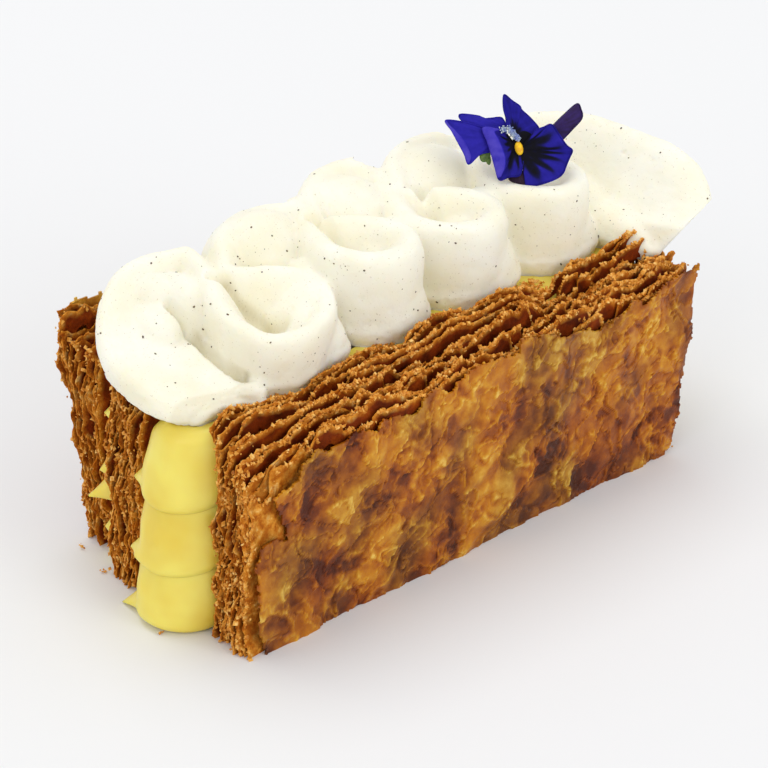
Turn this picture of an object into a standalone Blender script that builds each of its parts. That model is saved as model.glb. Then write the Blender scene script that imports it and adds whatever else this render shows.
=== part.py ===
"""Mille feuille slice standing on its cut side: three upright puff pastry sheets, piped
custard ropes in the two gaps between them, one piped wave of vanilla cream along the top
and a viola flower. Metres, +Z up. The origin is the middle of the footprint, on the table.

In the making frame X runs along the slice from its near end, Y from the front sheet's outer
face to the back sheet, and Z up from the table. The last step moves it all to the origin."""

import math

import bmesh
import bpy
from mathutils import Euler, Matrix, Vector, noise

MM = 0.001

# Driving sizes of the slice.
LENGTH = 122 * MM
HEIGHT = 45 * MM
SHEET = 11.2 * MM
FRONT_GAP = 18.4 * MM
BACK_GAP = 6.2 * MM
CLEARANCE = 0.35 * MM
ROPES_PER_GAP = 3

# Where the front face of the middle and back sheets stands, from the front sheet's outer face.
MIDDLE_SHEET_Y = SHEET + FRONT_GAP
BACK_SHEET_Y = MIDDLE_SHEET_Y + SHEET + BACK_GAP

# The piped cream, which sits a little lower than the sheets' tops.
CREAM_BASE = HEIGHT - 1.0 * MM
CREAM_FRONT_Y = 19.8 * MM  # the ribbon's middle in its front turns
CREAM_BACK_Y = 50.5 * MM  # and in its back turns
CREAM_SWING = math.radians(97)
TURN_FLATNESS = 0.08
CREAM_PERIOD = 25.4 * MM
CREAM_LOBES = 4
FIRST_BACK_TURN_X = 19.0 * MM
RIBBON_HEIGHT = 18 * MM
FIRST_LOBE_DROP = 3.5 * MM
FIRST_STROKE_FULLNESS = 0.85
LAST_STROKE_FULLNESS = 1.2
STROKE_START = Vector((13 * MM, 13 * MM))
FIRST_PETAL_HEIGHT = 19.5 * MM
FIRST_PETAL_LEAN = math.radians(76)
STROKE_END = Vector((125 * MM, 2 * MM))
LAST_PETAL_HEIGHT = 20 * MM
LAST_PETAL_LEAN = math.radians(10)
LAST_PETAL_LIFT = 10 * MM

# The viola, which looks up and towards the near front corner.
FLOWER_CENTRE = Vector((97.2 * MM, 29.2 * MM, 68.8 * MM))
FLOWER_FACING = Euler((math.radians(38), 0, math.radians(-44)))
PETAL_THICKNESS = 0.9 * MM


# ---------------------------------------------------------------- scene and shared helpers


def clear_scene():
    """Empties the scene that Blender starts with."""
    for old in list(bpy.data.objects):
        bpy.data.objects.remove(old, do_unlink=True)


def new_collection(name):
    """A collection of the scene for the object's parts."""
    collection = bpy.data.collections.new(name)
    bpy.context.scene.collection.children.link(collection)
    return collection


def food_material(name, colour, roughness):
    """A Principled material; nothing on the slice is metallic."""
    material = bpy.data.materials.new(name)
    material.use_nodes = True
    shader = material.node_tree.nodes["Principled BSDF"]
    shader.inputs["Base Color"].default_value = (*colour, 1.0)
    shader.inputs["Roughness"].default_value = roughness
    shader.inputs["Metallic"].default_value = 0.0
    return material


def object_from_bmesh(name, bm, collection, material):
    """Writes the bmesh to a new object in the collection, with its faces pointing out."""
    bmesh.ops.recalc_face_normals(bm, faces=bm.faces)
    mesh = bpy.data.meshes.new(name)
    bm.to_mesh(mesh)
    bm.free()
    mesh.materials.append(material)
    piece = bpy.data.objects.new(name, mesh)
    collection.objects.link(piece)
    return piece


def blend(a, b, t):
    """The value t of the way from a to b."""
    return a + (b - a) * t


def smooth_step(t):
    """Eases 0 to 1 and holds outside that range."""
    t = max(0.0, min(1.0, t))
    return t * t * (3 - 2 * t)


def ripple(x, y, z, size, seed):
    """Smooth noise from about -1 to 1 whose bumps are that size."""
    return noise.noise(Vector((x / size + 7.3 * seed, y / size, z / size)))


# ---------------------------------------------------------------- puff pastry sheets


class SheetShape:
    """The outline of one upright sheet: where its faces, ends and top lie."""

    def __init__(self, name, y, thick=SHEET, near=0.0, foot=0.0, lean=0.0, flare=0.0, rise=0.0, seed=0):
        self.name = name
        self.y = y  # front face at the table
        self.thick = thick  # at the table
        self.near = near  # how far its near end is set back along the slice
        self.foot = foot  # how far the near end's foot steps out past that
        self.lean = lean  # how far the top leans towards +Y
        self.flare = flare  # how much thicker the top is
        self.rise = rise  # how much higher than HEIGHT the top stands
        self.seed = seed


BACK_FOOT = 7.5 * MM
BACK_FLARE = 4.5 * MM
BACK_LEAN = 2.0 * MM
BACK_RECESS = 2.5 * MM
SHEETS = (
    SheetShape("pastry_front", 0.0, near=1.5 * MM, seed=1),
    SheetShape("pastry_middle", MIDDLE_SHEET_Y, near=-2.0 * MM, foot=2.0 * MM, rise=-2.0 * MM, seed=2),
    SheetShape("pastry_back", BACK_SHEET_Y, BACK_FOOT, BACK_RECESS, lean=BACK_LEAN, flare=BACK_FLARE, seed=3),
)
SHEET_CUTS = (20, 9, 7)  # divisions along, across and up a sheet
LAYER_STEP = 0.75 * MM  # how far every other flaky layer stands proud of its neighbours
FAR_OVERHANG = 3.5 * MM  # the far cut slants out by this much at the top
OUTER_DROP = 4.0 * MM  # the front sheet's outer layers are this much shorter
BROKEN_CORNER = 20.0 * MM  # the front sheet's near outer corner is broken off this far along
BROKEN_DROP = 14.0 * MM
BACK_CREST = 4.5 * MM  # the back sheet's outer layers stand this much over its inner ones
CREST_LENGTH = 26.0 * MM  # and do so this far along from the near end


def sheet_top(shape, x, across):
    """Height of the sheet's top at x, where across runs 0 to 1 from its front to its back."""
    top = HEIGHT + shape.rise + 0.5 * MM * ripple(x, across, 0, 14 * MM, shape.seed)
    outer = 1 - across
    if shape.name == "pastry_front":
        top -= OUTER_DROP * outer
        top -= BROKEN_DROP * outer**2 * (1 - smooth_step(x / BROKEN_CORNER))
    if shape.name == "pastry_back":
        top += BACK_CREST * smooth_step((across - 0.45) / 0.4) * (1 - smooth_step(x / CREST_LENGTH))
    if shape.name != "pastry_front" and not (shape.name == "pastry_back" and across > 0.7):
        top = min(top, CREAM_BASE - CLEARANCE)
    return top


def sheet_point(shape, along, across, up):
    """Where the sheet's point lies, for three shares from 0 to 1."""
    proud = LAYER_STEP if round(across * SHEET_CUTS[1]) % 2 else 0.0
    near = shape.near - shape.foot * (1 - up) - proud
    far = LENGTH - FAR_OVERHANG * (1 - up) + proud
    x = blend(near, far, along)
    at_end = along in (0.0, 1.0)
    x += (1.1 * MM * ripple(0, across * 9, up * 5, 1.0, shape.seed + 4)) if at_end else 0.0
    thickness = shape.thick - 2 * CLEARANCE + shape.flare * up
    y = shape.y + CLEARANCE + thickness * across + shape.lean * up
    if shape.name == "pastry_front" and across == 0.0:
        y += 0.7 * MM * ripple(x, 0, up * HEIGHT, 9 * MM, shape.seed)
    if shape.name == "pastry_back" and across == 1.0:
        y += 0.7 * MM * ripple(x, 0, up * HEIGHT, 9 * MM, shape.seed)
    top = sheet_top(shape, x, across) - (0.0 if proud else LAYER_STEP)
    return Vector((x, y, top * up))


def pastry_sheet(shape, collection, material):
    """A cube grid bent to the sheet's outline, with its layers stepped at the cut edges."""
    bm = bmesh.new()
    bmesh.ops.create_cube(bm, size=1.0)
    for axis, cuts in enumerate(SHEET_CUTS):
        for cut in range(1, cuts):
            plane = Vector((0, 0, 0))
            plane[axis] = cut / cuts - 0.5
            normal = Vector((0, 0, 0))
            normal[axis] = 1.0
            everything = bm.verts[:] + bm.edges[:] + bm.faces[:]
            bmesh.ops.bisect_plane(bm, geom=everything, plane_co=plane, plane_no=normal)
    for vert in bm.verts:
        shares = [round(share + 0.5, 6) for share in vert.co]
        vert.co = sheet_point(shape, *shares)
    return object_from_bmesh(shape.name, bm, collection, material)


# ---------------------------------------------------------------- piped custard ropes

ROPE_SIDES = 20
ROPE_RINGS = 10
ROPE_SQUARENESS = 0.45  # 1 is an ellipse, and less presses the rope flat on its neighbours
NOSE_LENGTH = 9.0 * MM  # how long a rope's rounded end is


def rope_section(turn, half_width, half_height):
    """Point of a squared ellipse at this angle, across and up from its centre."""
    c, s = math.cos(turn), math.sin(turn)
    across = math.copysign(abs(c) ** ROPE_SQUARENESS, c) * half_width
    up = math.copysign(abs(s) ** ROPE_SQUARENESS, s) * half_height
    return across, up


def custard_rope(name, x_near, x_far, y_centre, half_width, level, collection, material):
    """One piped rope: a cylinder drawn out along X, pressed square, with rounded noses that sag."""
    rope_height = (CREAM_BASE - CLEARANCE) / ROPES_PER_GAP
    half_height = rope_height / 2 - CLEARANCE / 2
    z_centre = rope_height * (level + 0.5) + (CLEARANCE / 2 if level else 0.0)
    bm = bmesh.new()
    bmesh.ops.create_cone(
        bm, cap_ends=True, segments=ROPE_SIDES, radius1=1.0, radius2=1.0, depth=1.0,
        matrix=Matrix.Rotation(math.pi / 2, 4, "Y") @ Matrix.Rotation(math.pi / ROPE_SIDES, 4, "Z"),
    )
    for ring in range(1, ROPE_RINGS):
        share = 0.5 - 0.5 * math.cos(math.pi * ring / ROPE_RINGS)
        everything = bm.verts[:] + bm.edges[:] + bm.faces[:]
        bmesh.ops.bisect_plane(bm, geom=everything, plane_co=(share - 0.5, 0, 0), plane_no=(1, 0, 0))
    for vert in bm.verts:
        along = vert.co.x + 0.5
        turn = math.atan2(vert.co.z, vert.co.y)
        x = blend(x_near, x_far, along)
        to_end = min(x - x_near, x_far - x)
        fill = math.sqrt(max(0.0, 1 - (1 - min(1.0, (to_end + 1.2 * MM) / NOSE_LENGTH)) ** 2))
        across, up = rope_section(turn, half_width, half_height)
        narrow = blend(0.55, 1.0, fill)
        sag = (1 - narrow) * half_height * (0.55 if level else 1.0)
        vert.co = (x, y_centre + across * blend(0.8, 1.0, fill), z_centre + up * narrow - sag)
        vert.co.z = max(vert.co.z, 0.0)
    return object_from_bmesh(name, bm, collection, material)


def custard_ropes(collection, material):
    """Three ropes in each gap; the wide front gap's ropes reach further out at the near end."""
    level_names = ("low", "mid", "high")
    gaps = (
        ("custard_front", SHEET, FRONT_GAP, (-6.0 * MM, -4.0 * MM, -2.5 * MM)),
        ("custard_back", MIDDLE_SHEET_Y + SHEET, BACK_GAP, (1.0 * MM, 0.5 * MM, 1.0 * MM)),
    )
    for stem, y_start, width, near_ends in gaps:
        for level, near in enumerate(near_ends):
            far = LENGTH - FAR_OVERHANG * 0.6 - 0.8 * MM * level
            custard_rope(
                f"{stem}_{level_names[level]}", near, far, y_start + width / 2,
                width / 2 - CLEARANCE / 2, level, collection, material,
            )


# ---------------------------------------------------------------- piped cream wave

PATH_STEPS = 24  # path points for each whole wave
STROKE_STEPS = 12  # and for each free stroke at the ends
DRAG = math.radians(13)  # the crest trails towards the near end by this much
TURN_LEAN = math.radians(8)  # and falls outwards in every turn
NOZZLE_SHAPE = (
    # across and up from the foot, as shares of the ribbon's height, down its right-hand side
    (0.0, 1.0), (0.06, 0.985), (0.11, 0.93), (0.17, 0.80), (0.23, 0.60), (0.30, 0.36),
    (0.35, 0.17), (0.385, 0.10), (0.385, 0.02), (0.35, -0.06), (0.30, -0.30),
)
VOXEL = 1.2 * MM
CREAM_TRIANGLES = 3200


def wave_path():
    """Points and headings of the piped meander, from its first back turn to its last.

    The heading swings as a sine of the way gone, which is the curve that a steady hand
    pipes; its third harmonic flattens the turns. One wave is CREAM_PERIOD long, and the
    turns lie at CREAM_FRONT_Y and CREAM_BACK_Y."""

    def heading(share):
        swing = -2 * math.pi * CREAM_LOBES * share
        return CREAM_SWING * (math.sin(swing) - TURN_FLATNESS * math.sin(3 * swing))

    steps = PATH_STEPS * CREAM_LOBES
    points = [Vector((0.0, 0.0))]
    for i in range(steps):
        way = heading((i + 0.5) / steps)
        points.append(points[-1] + Vector((math.cos(way), math.sin(way))))
    x_scale = CREAM_PERIOD * CREAM_LOBES / points[-1].x
    y_scale = (CREAM_BACK_Y - CREAM_FRONT_Y) / -min(p.y for p in points)
    origin = Vector((FIRST_BACK_TURN_X, CREAM_BACK_Y))
    return [
        (origin + Vector((p.x * x_scale, p.y * y_scale)), heading(i / steps))
        for i, p in enumerate(points)
    ]


def free_stroke(start, end, leave, arrive, fullness):
    """Points and headings of a smooth stroke that leaves and arrives in the headings given."""
    reach = (end - start).length * fullness
    out = Vector((math.cos(leave), math.sin(leave))) * reach
    into = Vector((math.cos(arrive), math.sin(arrive))) * reach
    points = []
    for i in range(STROKE_STEPS + 1):
        t = i / STROKE_STEPS
        place = start * (2 * t**3 - 3 * t**2 + 1) + out * (t**3 - 2 * t**2 + t)
        points.append(place + end * (3 * t**2 - 2 * t**3) + into * (t**3 - t**2))
    stations = []
    for i, point in enumerate(points):
        ahead = points[min(i + 1, STROKE_STEPS)] - points[max(i - 1, 0)]
        stations.append((point, math.atan2(ahead.y, ahead.x)))
    return stations


def ribbon_stations():
    """(place, lean, height) all along the ribbon; a lean above 0 is to the left of the way gone."""
    wave = wave_path()
    first_end, last_start = wave[0][0], wave[-1][0]
    rising, falling = math.radians(92), math.radians(-88)
    first = free_stroke(STROKE_START, first_end, rising, math.radians(10), FIRST_STROKE_FULLNESS)[:-1]
    last = free_stroke(last_start, STROKE_END, math.radians(-10), falling, LAST_STROKE_FULLNESS)[1:]
    stations = []
    for i, (point, way) in enumerate(first):
        t = i / len(first)
        lean = blend(FIRST_PETAL_LEAN, TURN_LEAN, smooth_step((t - 0.25) / 0.75))
        height = FIRST_PETAL_HEIGHT * blend(0.72, 1.0, smooth_step(t * 3))
        height = blend(height, RIBBON_HEIGHT * 0.92, smooth_step((t - 0.3) / 0.7))
        stations.append((point.to_3d(), lean, height))
    for i, (point, way) in enumerate(wave):
        t = i / (len(wave) - 1)
        to_front = -math.cos(2 * math.pi * CREAM_LOBES * t)
        lean = DRAG * math.sin(way) - TURN_LEAN * to_front
        low_lobe = FIRST_LOBE_DROP * smooth_step(1 - abs(t * CREAM_LOBES - 0.5) / 0.6)
        growing = blend(0.92, 1.0, smooth_step(t * CREAM_LOBES - 0.5))
        stations.append((point.to_3d(), lean, RIBBON_HEIGHT * growing - low_lobe))
    for i, (point, way) in enumerate(last):
        t = (i + 1) / len(last)
        lean = blend(TURN_LEAN, LAST_PETAL_LEAN, smooth_step(t * 2))
        height = blend(RIBBON_HEIGHT, LAST_PETAL_HEIGHT, smooth_step(t * 2.2))
        tail = max(0.0, (t - 0.52) / 0.48)
        place = point.to_3d()
        place.z = LAST_PETAL_LIFT * tail**1.2
        stations.append((place, lean, height - (LAST_PETAL_HEIGHT - 7 * MM) * tail**2))
    return stations


def nozzle_outline(helpers):
    """The closed outline of the ribbon's section, one unit high."""
    half = list(NOZZLE_SHAPE)
    outline = half + [(-across, up) for across, up in reversed(half[1:])]
    curve = bpy.data.curves.new("nozzle_shape", "CURVE")
    curve.dimensions = "2D"
    spline = curve.splines.new("POLY")
    spline.points.add(len(outline) - 1)
    for point, (across, up) in zip(spline.points, outline):
        point.co = (across, up, 0.0, 1.0)
    spline.use_cyclic_u = True
    outline_object = bpy.data.objects.new("nozzle_shape", curve)
    outline_object.hide_render = True
    outline_object.display_type = "WIRE"
    helpers.objects.link(outline_object)
    return outline_object


def cream_ribbon(helpers):
    """The section swept along the stations, as a mesh whose folds still run into each other."""
    curve = bpy.data.curves.new("cream_path", "CURVE")
    curve.dimensions = "3D"
    curve.twist_mode = "Z_UP"
    curve.bevel_mode = "OBJECT"
    curve.bevel_object = nozzle_outline(helpers)
    curve.use_fill_caps = True
    stations = ribbon_stations()
    spline = curve.splines.new("POLY")
    spline.points.add(len(stations) - 1)
    for point, (place, lean, height) in zip(spline.points, stations):
        point.co = (place.x, place.y, CREAM_BASE + place.z, 1.0)
        point.tilt = -lean
        point.radius = height
    path = bpy.data.objects.new("cream_path", curve)
    helpers.objects.link(path)
    graph = bpy.context.evaluated_depsgraph_get()
    mesh = bpy.data.meshes.new_from_object(path.evaluated_get(graph))
    bpy.data.objects.remove(path, do_unlink=True)
    return mesh


def largest_body(bm):
    """Drops every piece of the mesh but the one with the most points."""
    left = set(bm.verts)
    bodies = []
    while left:
        body, edge = set(), [left.pop()]
        while edge:
            vert = edge.pop()
            body.add(vert)
            near = [e.other_vert(vert) for e in vert.link_edges]
            fresh = [v for v in near if v in left]
            left.difference_update(fresh)
            edge.extend(fresh)
        bodies.append(body)
    bodies.sort(key=len)
    for body in bodies[:-1]:
        bmesh.ops.delete(bm, geom=list(body), context="VERTS")


def cream_wave(collection, helpers, material):
    """The swept ribbon, fused where its folds touch and cut flat where it sits."""
    bm = bmesh.new()
    bm.from_mesh(cream_ribbon(helpers))
    bmesh.ops.remove_doubles(bm, verts=bm.verts, dist=0.01 * MM)
    ribbon = object_from_bmesh("cream_wave", bm, collection, material)
    fuse = ribbon.modifiers.new("fuse", "REMESH")
    fuse.mode = "VOXEL"
    fuse.voxel_size = VOXEL
    ease = ribbon.modifiers.new("ease", "SMOOTH")
    ease.factor = 0.5
    ease.iterations = 2
    graph = bpy.context.evaluated_depsgraph_get()
    bm = bmesh.new()
    bm.from_mesh(bpy.data.meshes.new_from_object(ribbon.evaluated_get(graph)))
    ribbon.modifiers.clear()
    everything = bm.verts[:] + bm.edges[:] + bm.faces[:]
    cut = bmesh.ops.bisect_plane(
        bm, geom=everything, dist=1e-6, plane_co=(0, 0, CREAM_BASE), plane_no=(0, 0, 1), clear_inner=True
    )
    rim = [e for e in cut["geom_cut"] if isinstance(e, bmesh.types.BMEdge)]
    bmesh.ops.holes_fill(bm, edges=rim, sides=0)
    largest_body(bm)
    bmesh.ops.triangulate(bm, faces=bm.faces)
    bmesh.ops.recalc_face_normals(bm, faces=bm.faces)
    triangles = len(bm.faces)
    bm.to_mesh(ribbon.data)
    bm.free()
    thin = ribbon.modifiers.new("thin_out", "DECIMATE")
    thin.ratio = CREAM_TRIANGLES / triangles
    return ribbon


# ---------------------------------------------------------------- viola flower


class Petal:
    """One petal, in the flower's frame: X and Y across its face and Z out of it."""

    def __init__(self, name, length, width, spin, pitch, roll=0.0, curl=0.0, cup=0.0):
        self.name = name
        self.length = length
        self.width = width
        self.spin = math.radians(spin)  # which way it points across the face, from X
        self.pitch = math.radians(pitch)  # how far it comes forward from the face
        self.roll = math.radians(roll)  # turn about its own length
        self.curl = math.radians(curl)  # how far the tip bends forward
        self.cup = cup  # how far the sides come forward, as a share of the width


PETALS = (
    Petal("lip", 12 * MM, 14.5 * MM, spin=-30, pitch=2, roll=5, curl=-12, cup=0.10),
    Petal("side_low", 9.5 * MM, 8 * MM, spin=238, pitch=12, roll=30, curl=-15, cup=0.2),
    Petal("side_high", 10.8 * MM, 11 * MM, spin=92, pitch=2, roll=-25, curl=10, cup=0.12),
    Petal("upper_left", 15.5 * MM, 10 * MM, spin=164, pitch=-3, roll=15, curl=8, cup=0.25),
    Petal("upper_right", 16 * MM, 5 * MM, spin=34, pitch=-16, roll=20, curl=0, cup=0.6),
)
PETAL_GRID = (6, 4)  # cells along a petal and across it
CLAW = 0.22  # width of a petal's stalk end, as a share of its full width
HEART_RADIUS = 2.2 * MM
STALK_RADIUS = 1.1 * MM
STALK_LENGTH = 11 * MM
STALK_SPIN = math.radians(20)  # which way the stalk leans behind the face
STALK_TILT = math.radians(176)  # and how far from straight forward


def petal_surface(petal, along, across):
    """Middle surface of a petal, for along 0 to 1 and across -1 to 1, before it is turned."""
    outline = CLAW + (1 - CLAW) * math.sin(math.pi * (along * 0.62 + 0.02))
    tip = math.sqrt(max(0.0, 1 - max(0.0, (along - 0.72) / 0.30) ** 2))
    half = petal.width / 2 * outline * max(tip, 0.32)
    bend = petal.curl * along
    reach = petal.length * along
    lift = petal.cup * petal.width * across * across * along
    return Vector((reach * math.cos(bend), half * across, reach * math.sin(bend) + lift))


def petal_body(petal):
    """The petal as a closed shell of even thickness, in the flower's frame."""
    turn = Matrix.Rotation(petal.spin, 3, "Z") @ Euler((petal.roll, -petal.pitch, 0)).to_matrix()
    along_cells, across_cells = PETAL_GRID
    bm = bmesh.new()
    bmesh.ops.create_grid(bm, x_segments=along_cells, y_segments=across_cells, size=1.0)
    for vert in bm.verts:
        along, across = (vert.co.x + 1) / 2, vert.co.y
        vert.co = turn @ petal_surface(petal, along, across)
    mesh = bpy.data.meshes.new(petal.name)
    bm.to_mesh(mesh)
    bm.free()
    body = bpy.data.objects.new(petal.name, mesh)
    shell = body.modifiers.new("shell", "SOLIDIFY")
    shell.thickness = PETAL_THICKNESS
    shell.offset = 0.0
    return body


def flower_stalk():
    """The cut stalk behind the flower, leaning down into the cream's hollow."""
    turn = Euler((0, STALK_TILT, STALK_SPIN)).to_matrix().to_4x4()
    bm = bmesh.new()
    bmesh.ops.create_cone(
        bm, cap_ends=True, segments=10, radius1=STALK_RADIUS * 1.3, radius2=STALK_RADIUS, depth=STALK_LENGTH,
        matrix=turn @ Matrix.Translation((0, 0, STALK_LENGTH / 2)),
    )
    mesh = bpy.data.meshes.new("stalk")
    bm.to_mesh(mesh)
    bm.free()
    return bpy.data.objects.new("stalk", mesh)


def viola(collection, helpers, material):
    """Five petals and a short stalk joined at a small heart, as one body."""
    bm = bmesh.new()
    bmesh.ops.create_icosphere(bm, subdivisions=2, radius=HEART_RADIUS)
    flower = object_from_bmesh("viola", bm, collection, material)
    flower.location = FLOWER_CENTRE
    flower.rotation_euler = FLOWER_FACING
    for body in [flower_stalk()] + [petal_body(petal) for petal in PETALS]:
        helpers.objects.link(body)
        body.location = FLOWER_CENTRE
        body.rotation_euler = FLOWER_FACING
        body.hide_render = True
        body.display_type = "WIRE"
        join = flower.modifiers.new(body.name, "BOOLEAN")
        join.operation = "UNION"
        join.object = body
    return flower


# ---------------------------------------------------------------- putting it together


def move_to_origin(parts, helpers):
    """Sets every piece under one empty, placed so that the footprint's middle is the origin."""
    bpy.context.view_layer.update()
    graph = bpy.context.evaluated_depsgraph_get()
    corners = []
    for part in parts.objects:
        evaluated = part.evaluated_get(graph)
        corners += [evaluated.matrix_world @ v.co for v in evaluated.to_mesh().vertices]
        evaluated.to_mesh_clear()
    low = Vector([min(c[k] for c in corners) for k in range(3)])
    high = Vector([max(c[k] for c in corners) for k in range(3)])
    slice_empty = bpy.data.objects.new("slice", None)
    bpy.context.scene.collection.objects.link(slice_empty)
    for piece in [*parts.objects, *helpers.objects]:
        piece.parent = slice_empty
    slice_empty.location = Vector((-(low.x + high.x) / 2, -(low.y + high.y) / 2, -low.z))


def main():
    clear_scene()
    parts = new_collection("mille_feuille")
    helpers = new_collection("guides")
    pastry = food_material("baked_pastry", (0.45, 0.20, 0.05), 0.65)
    custard = food_material("custard", (0.83, 0.66, 0.14), 0.35)
    cream = food_material("vanilla_cream", (0.90, 0.85, 0.70), 0.5)
    petal = food_material("viola_petal", (0.03, 0.02, 0.30), 0.6)
    for shape in SHEETS:
        pastry_sheet(shape, parts, pastry)
    custard_ropes(parts, custard)
    cream_wave(parts, helpers, cream)
    viola(parts, helpers, petal)
    move_to_origin(parts, helpers)


main()
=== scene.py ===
"""The looks of the mille feuille slice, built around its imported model. Metres, +Z up.

Sizes are given where the slice is put together: X runs along it from the near end, Y from
the front sheet's outer face to the back, and Z up from the table. place() moves a point
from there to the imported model's own frame."""

import math
import random

import bmesh
import bpy
from mathutils import Euler, Matrix, Vector, noise


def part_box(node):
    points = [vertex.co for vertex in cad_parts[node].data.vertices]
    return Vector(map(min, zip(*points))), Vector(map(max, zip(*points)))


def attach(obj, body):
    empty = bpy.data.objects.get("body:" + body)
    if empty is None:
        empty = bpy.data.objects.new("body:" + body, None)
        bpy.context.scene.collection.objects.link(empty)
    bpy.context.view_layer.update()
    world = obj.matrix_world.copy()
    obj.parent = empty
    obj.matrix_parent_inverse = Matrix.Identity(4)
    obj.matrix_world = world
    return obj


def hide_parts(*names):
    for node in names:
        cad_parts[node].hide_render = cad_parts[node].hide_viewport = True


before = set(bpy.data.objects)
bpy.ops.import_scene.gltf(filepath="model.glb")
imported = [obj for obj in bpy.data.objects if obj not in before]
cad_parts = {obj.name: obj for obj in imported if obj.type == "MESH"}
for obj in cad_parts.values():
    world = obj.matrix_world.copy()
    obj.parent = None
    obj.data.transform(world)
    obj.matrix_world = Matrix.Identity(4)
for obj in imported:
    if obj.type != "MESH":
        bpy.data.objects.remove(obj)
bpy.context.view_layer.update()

# ------------------------------------------------------------------ table, light and camera
# A plain pale studio table. The light is soft and mostly from above and a little behind,
# with a wide fill from the front left, so that the cream stays bright and shadows are faint.

MM = 0.001
ROPE_SIDE_GAP = 11.375 * MM  # from the front sheet's face to the front custard's side
ROPE_OVERHANG = 6.0 * MM  # how far the lowest custard rope passes the slice's near end
rope_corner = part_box("custard_front_low")[0]
START = Vector((rope_corner.x + ROPE_OVERHANG, rope_corner.y - ROPE_SIDE_GAP, 0.0))


def place(x, y, z):
    """The point that lies so many millimetres along, back and up from the slice's start."""
    return START + Vector((x, y, z)) * MM


def new_piece(name):
    """The object that an operator just made, under its own name."""
    piece = bpy.context.object
    piece.name = name
    piece.data.name = name
    return piece


def deselect_all():
    bpy.ops.object.select_all(action="DESELECT")


TABLE_SIZE = 6.0
TABLE_WHITE = (0.84, 0.845, 0.855, 1.0)
deselect_all()
bpy.ops.mesh.primitive_plane_add(size=TABLE_SIZE, location=(0, 0, 0))
table = new_piece("table")
table_paint = bpy.data.materials.new("pale table")
table_paint.use_nodes = True
table_shader = table_paint.node_tree.nodes["Principled BSDF"]
table_shader.inputs["Base Color"].default_value = TABLE_WHITE
table_shader.inputs["Roughness"].default_value = 0.7
table_shader.inputs["Specular IOR Level"].default_value = 0.0
table.data.materials.append(table_paint)

scene = bpy.context.scene
scene.view_settings.view_transform = "Standard"
world = bpy.data.worlds.new("studio")
world.use_nodes = True
world.node_tree.nodes["Background"].inputs["Color"].default_value = (1.0, 1.0, 1.0, 1.0)
world.node_tree.nodes["Background"].inputs["Strength"].default_value = 0.73
scene.world = world


def softbox(name, where, aim, width, watts, colour=(1.0, 1.0, 1.0)):
    """A square studio lamp of that width, looking from one place at another."""
    lamp = bpy.data.lights.new(name, "AREA")
    lamp.size = width
    lamp.energy = watts
    lamp.color = colour
    stand = bpy.data.objects.new(name, lamp)
    stand.location = where
    stand.rotation_euler = (where - aim).to_track_quat("Z", "Y").to_euler()
    scene.collection.objects.link(stand)


SLICE_MIDDLE = Vector((0.0, 0.0, 0.03))
softbox("overhead", Vector((0.1, 1.0, 2.4)), SLICE_MIDDLE, 1.8, 21.0)
softbox("key_left", Vector((-1.9, -0.6, 1.4)), SLICE_MIDDLE, 1.2, 6.5)
softbox("fill_front", Vector((0.4, -2.1, 1.0)), SLICE_MIDDLE, 1.4, 12.0)

CAMERA_AIM = place(52.65, 21.15, 31.5)
CAMERA_AZIMUTH = math.radians(-44.3)
CAMERA_ELEVATION = math.radians(29.4)
CAMERA_ROLL = math.radians(2.14)
CAMERA_DISTANCE = 508.5 * MM
away = Vector((
    math.sin(CAMERA_AZIMUTH) * math.cos(CAMERA_ELEVATION),
    -math.cos(CAMERA_AZIMUTH) * math.cos(CAMERA_ELEVATION),
    math.sin(CAMERA_ELEVATION),
))
camera = bpy.data.objects.new("camera", bpy.data.cameras.new("camera"))
camera.data.sensor_width = 36
camera.data.lens = 118.5
camera.data.clip_start = 0.01
roll = Matrix.Rotation(CAMERA_ROLL, 4, "Z")
camera.matrix_world = (
    Matrix.Translation(CAMERA_AIM + away * CAMERA_DISTANCE)
    @ away.to_track_quat("Z", "Y").to_matrix().to_4x4()
    @ roll
)
scene.collection.objects.link(camera)
scene.camera = camera

# ------------------------------------------------------------------ puff pastry leaves
# Each sheet of baked puff pastry is a stack of thin leaves that puffed apart in the oven.
# They are made one by one, as a waved grid with torn edges and its own thickness. Only the
# rim of each leaf is made, round a plain core, because no more can be seen between them.

HEIGHT = 45.0
LENGTH = 122.0
LEAF_CELLS = (176, 64)  # cells along and up a leaf
RIM_DEPTH = 3.6
FOOT_DEPTH = 0.5
CORE_DEPTH = 2.8  # how far the plain core lies behind the cut edges
CORE_NEAR_DEPTH = 9.0  # and behind the cut near end, where the eye reaches in furthest


def smooth_step(t):
    """Eases from 0 to 1 and holds outside that range."""
    t = max(0.0, min(1.0, t))
    return t * t * (3 - 2 * t)


def ripple(x, y, z, seed):
    """Smooth noise between about -1 and 1 with bumps one unit wide."""
    return noise.noise(Vector((x, y + 17.7 * seed, z - 5.1 * seed)))


def blend(a, b, t):
    return a + (b - a) * t


# The torn top edge of the front sheet's inner leaves, beside the cream, as (x, height).
INNER_CREST = (
    (-3, 42.8), (0.3, 43.8), (5.9, 46.0), (11.7, 45.8), (18, 45.0), (24, 45.2), (30, 46.0), (36, 47.0), (41.7, 47.6),
    (48.8, 46.4), (54, 47.4), (60, 48.2), (66, 47.6), (71.5, 47.6), (77, 47.6), (82, 46.4), (86, 44.8), (90.8, 44.0),
    (92.6, 47.0), (104, 47.2), (112, 48.4), (117, 49.4), (120, 47.2), (126, 45.0),
)


def inner_crest(x):
    """Height of that edge, straight from one named place to the next."""
    for (x1, z1), (x2, z2) in zip(INNER_CREST, INNER_CREST[1:]):
        if x < x2:
            break
    return blend(z1, z2, max(0.0, min(1.0, (x - x1) / (x2 - x1))))


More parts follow.
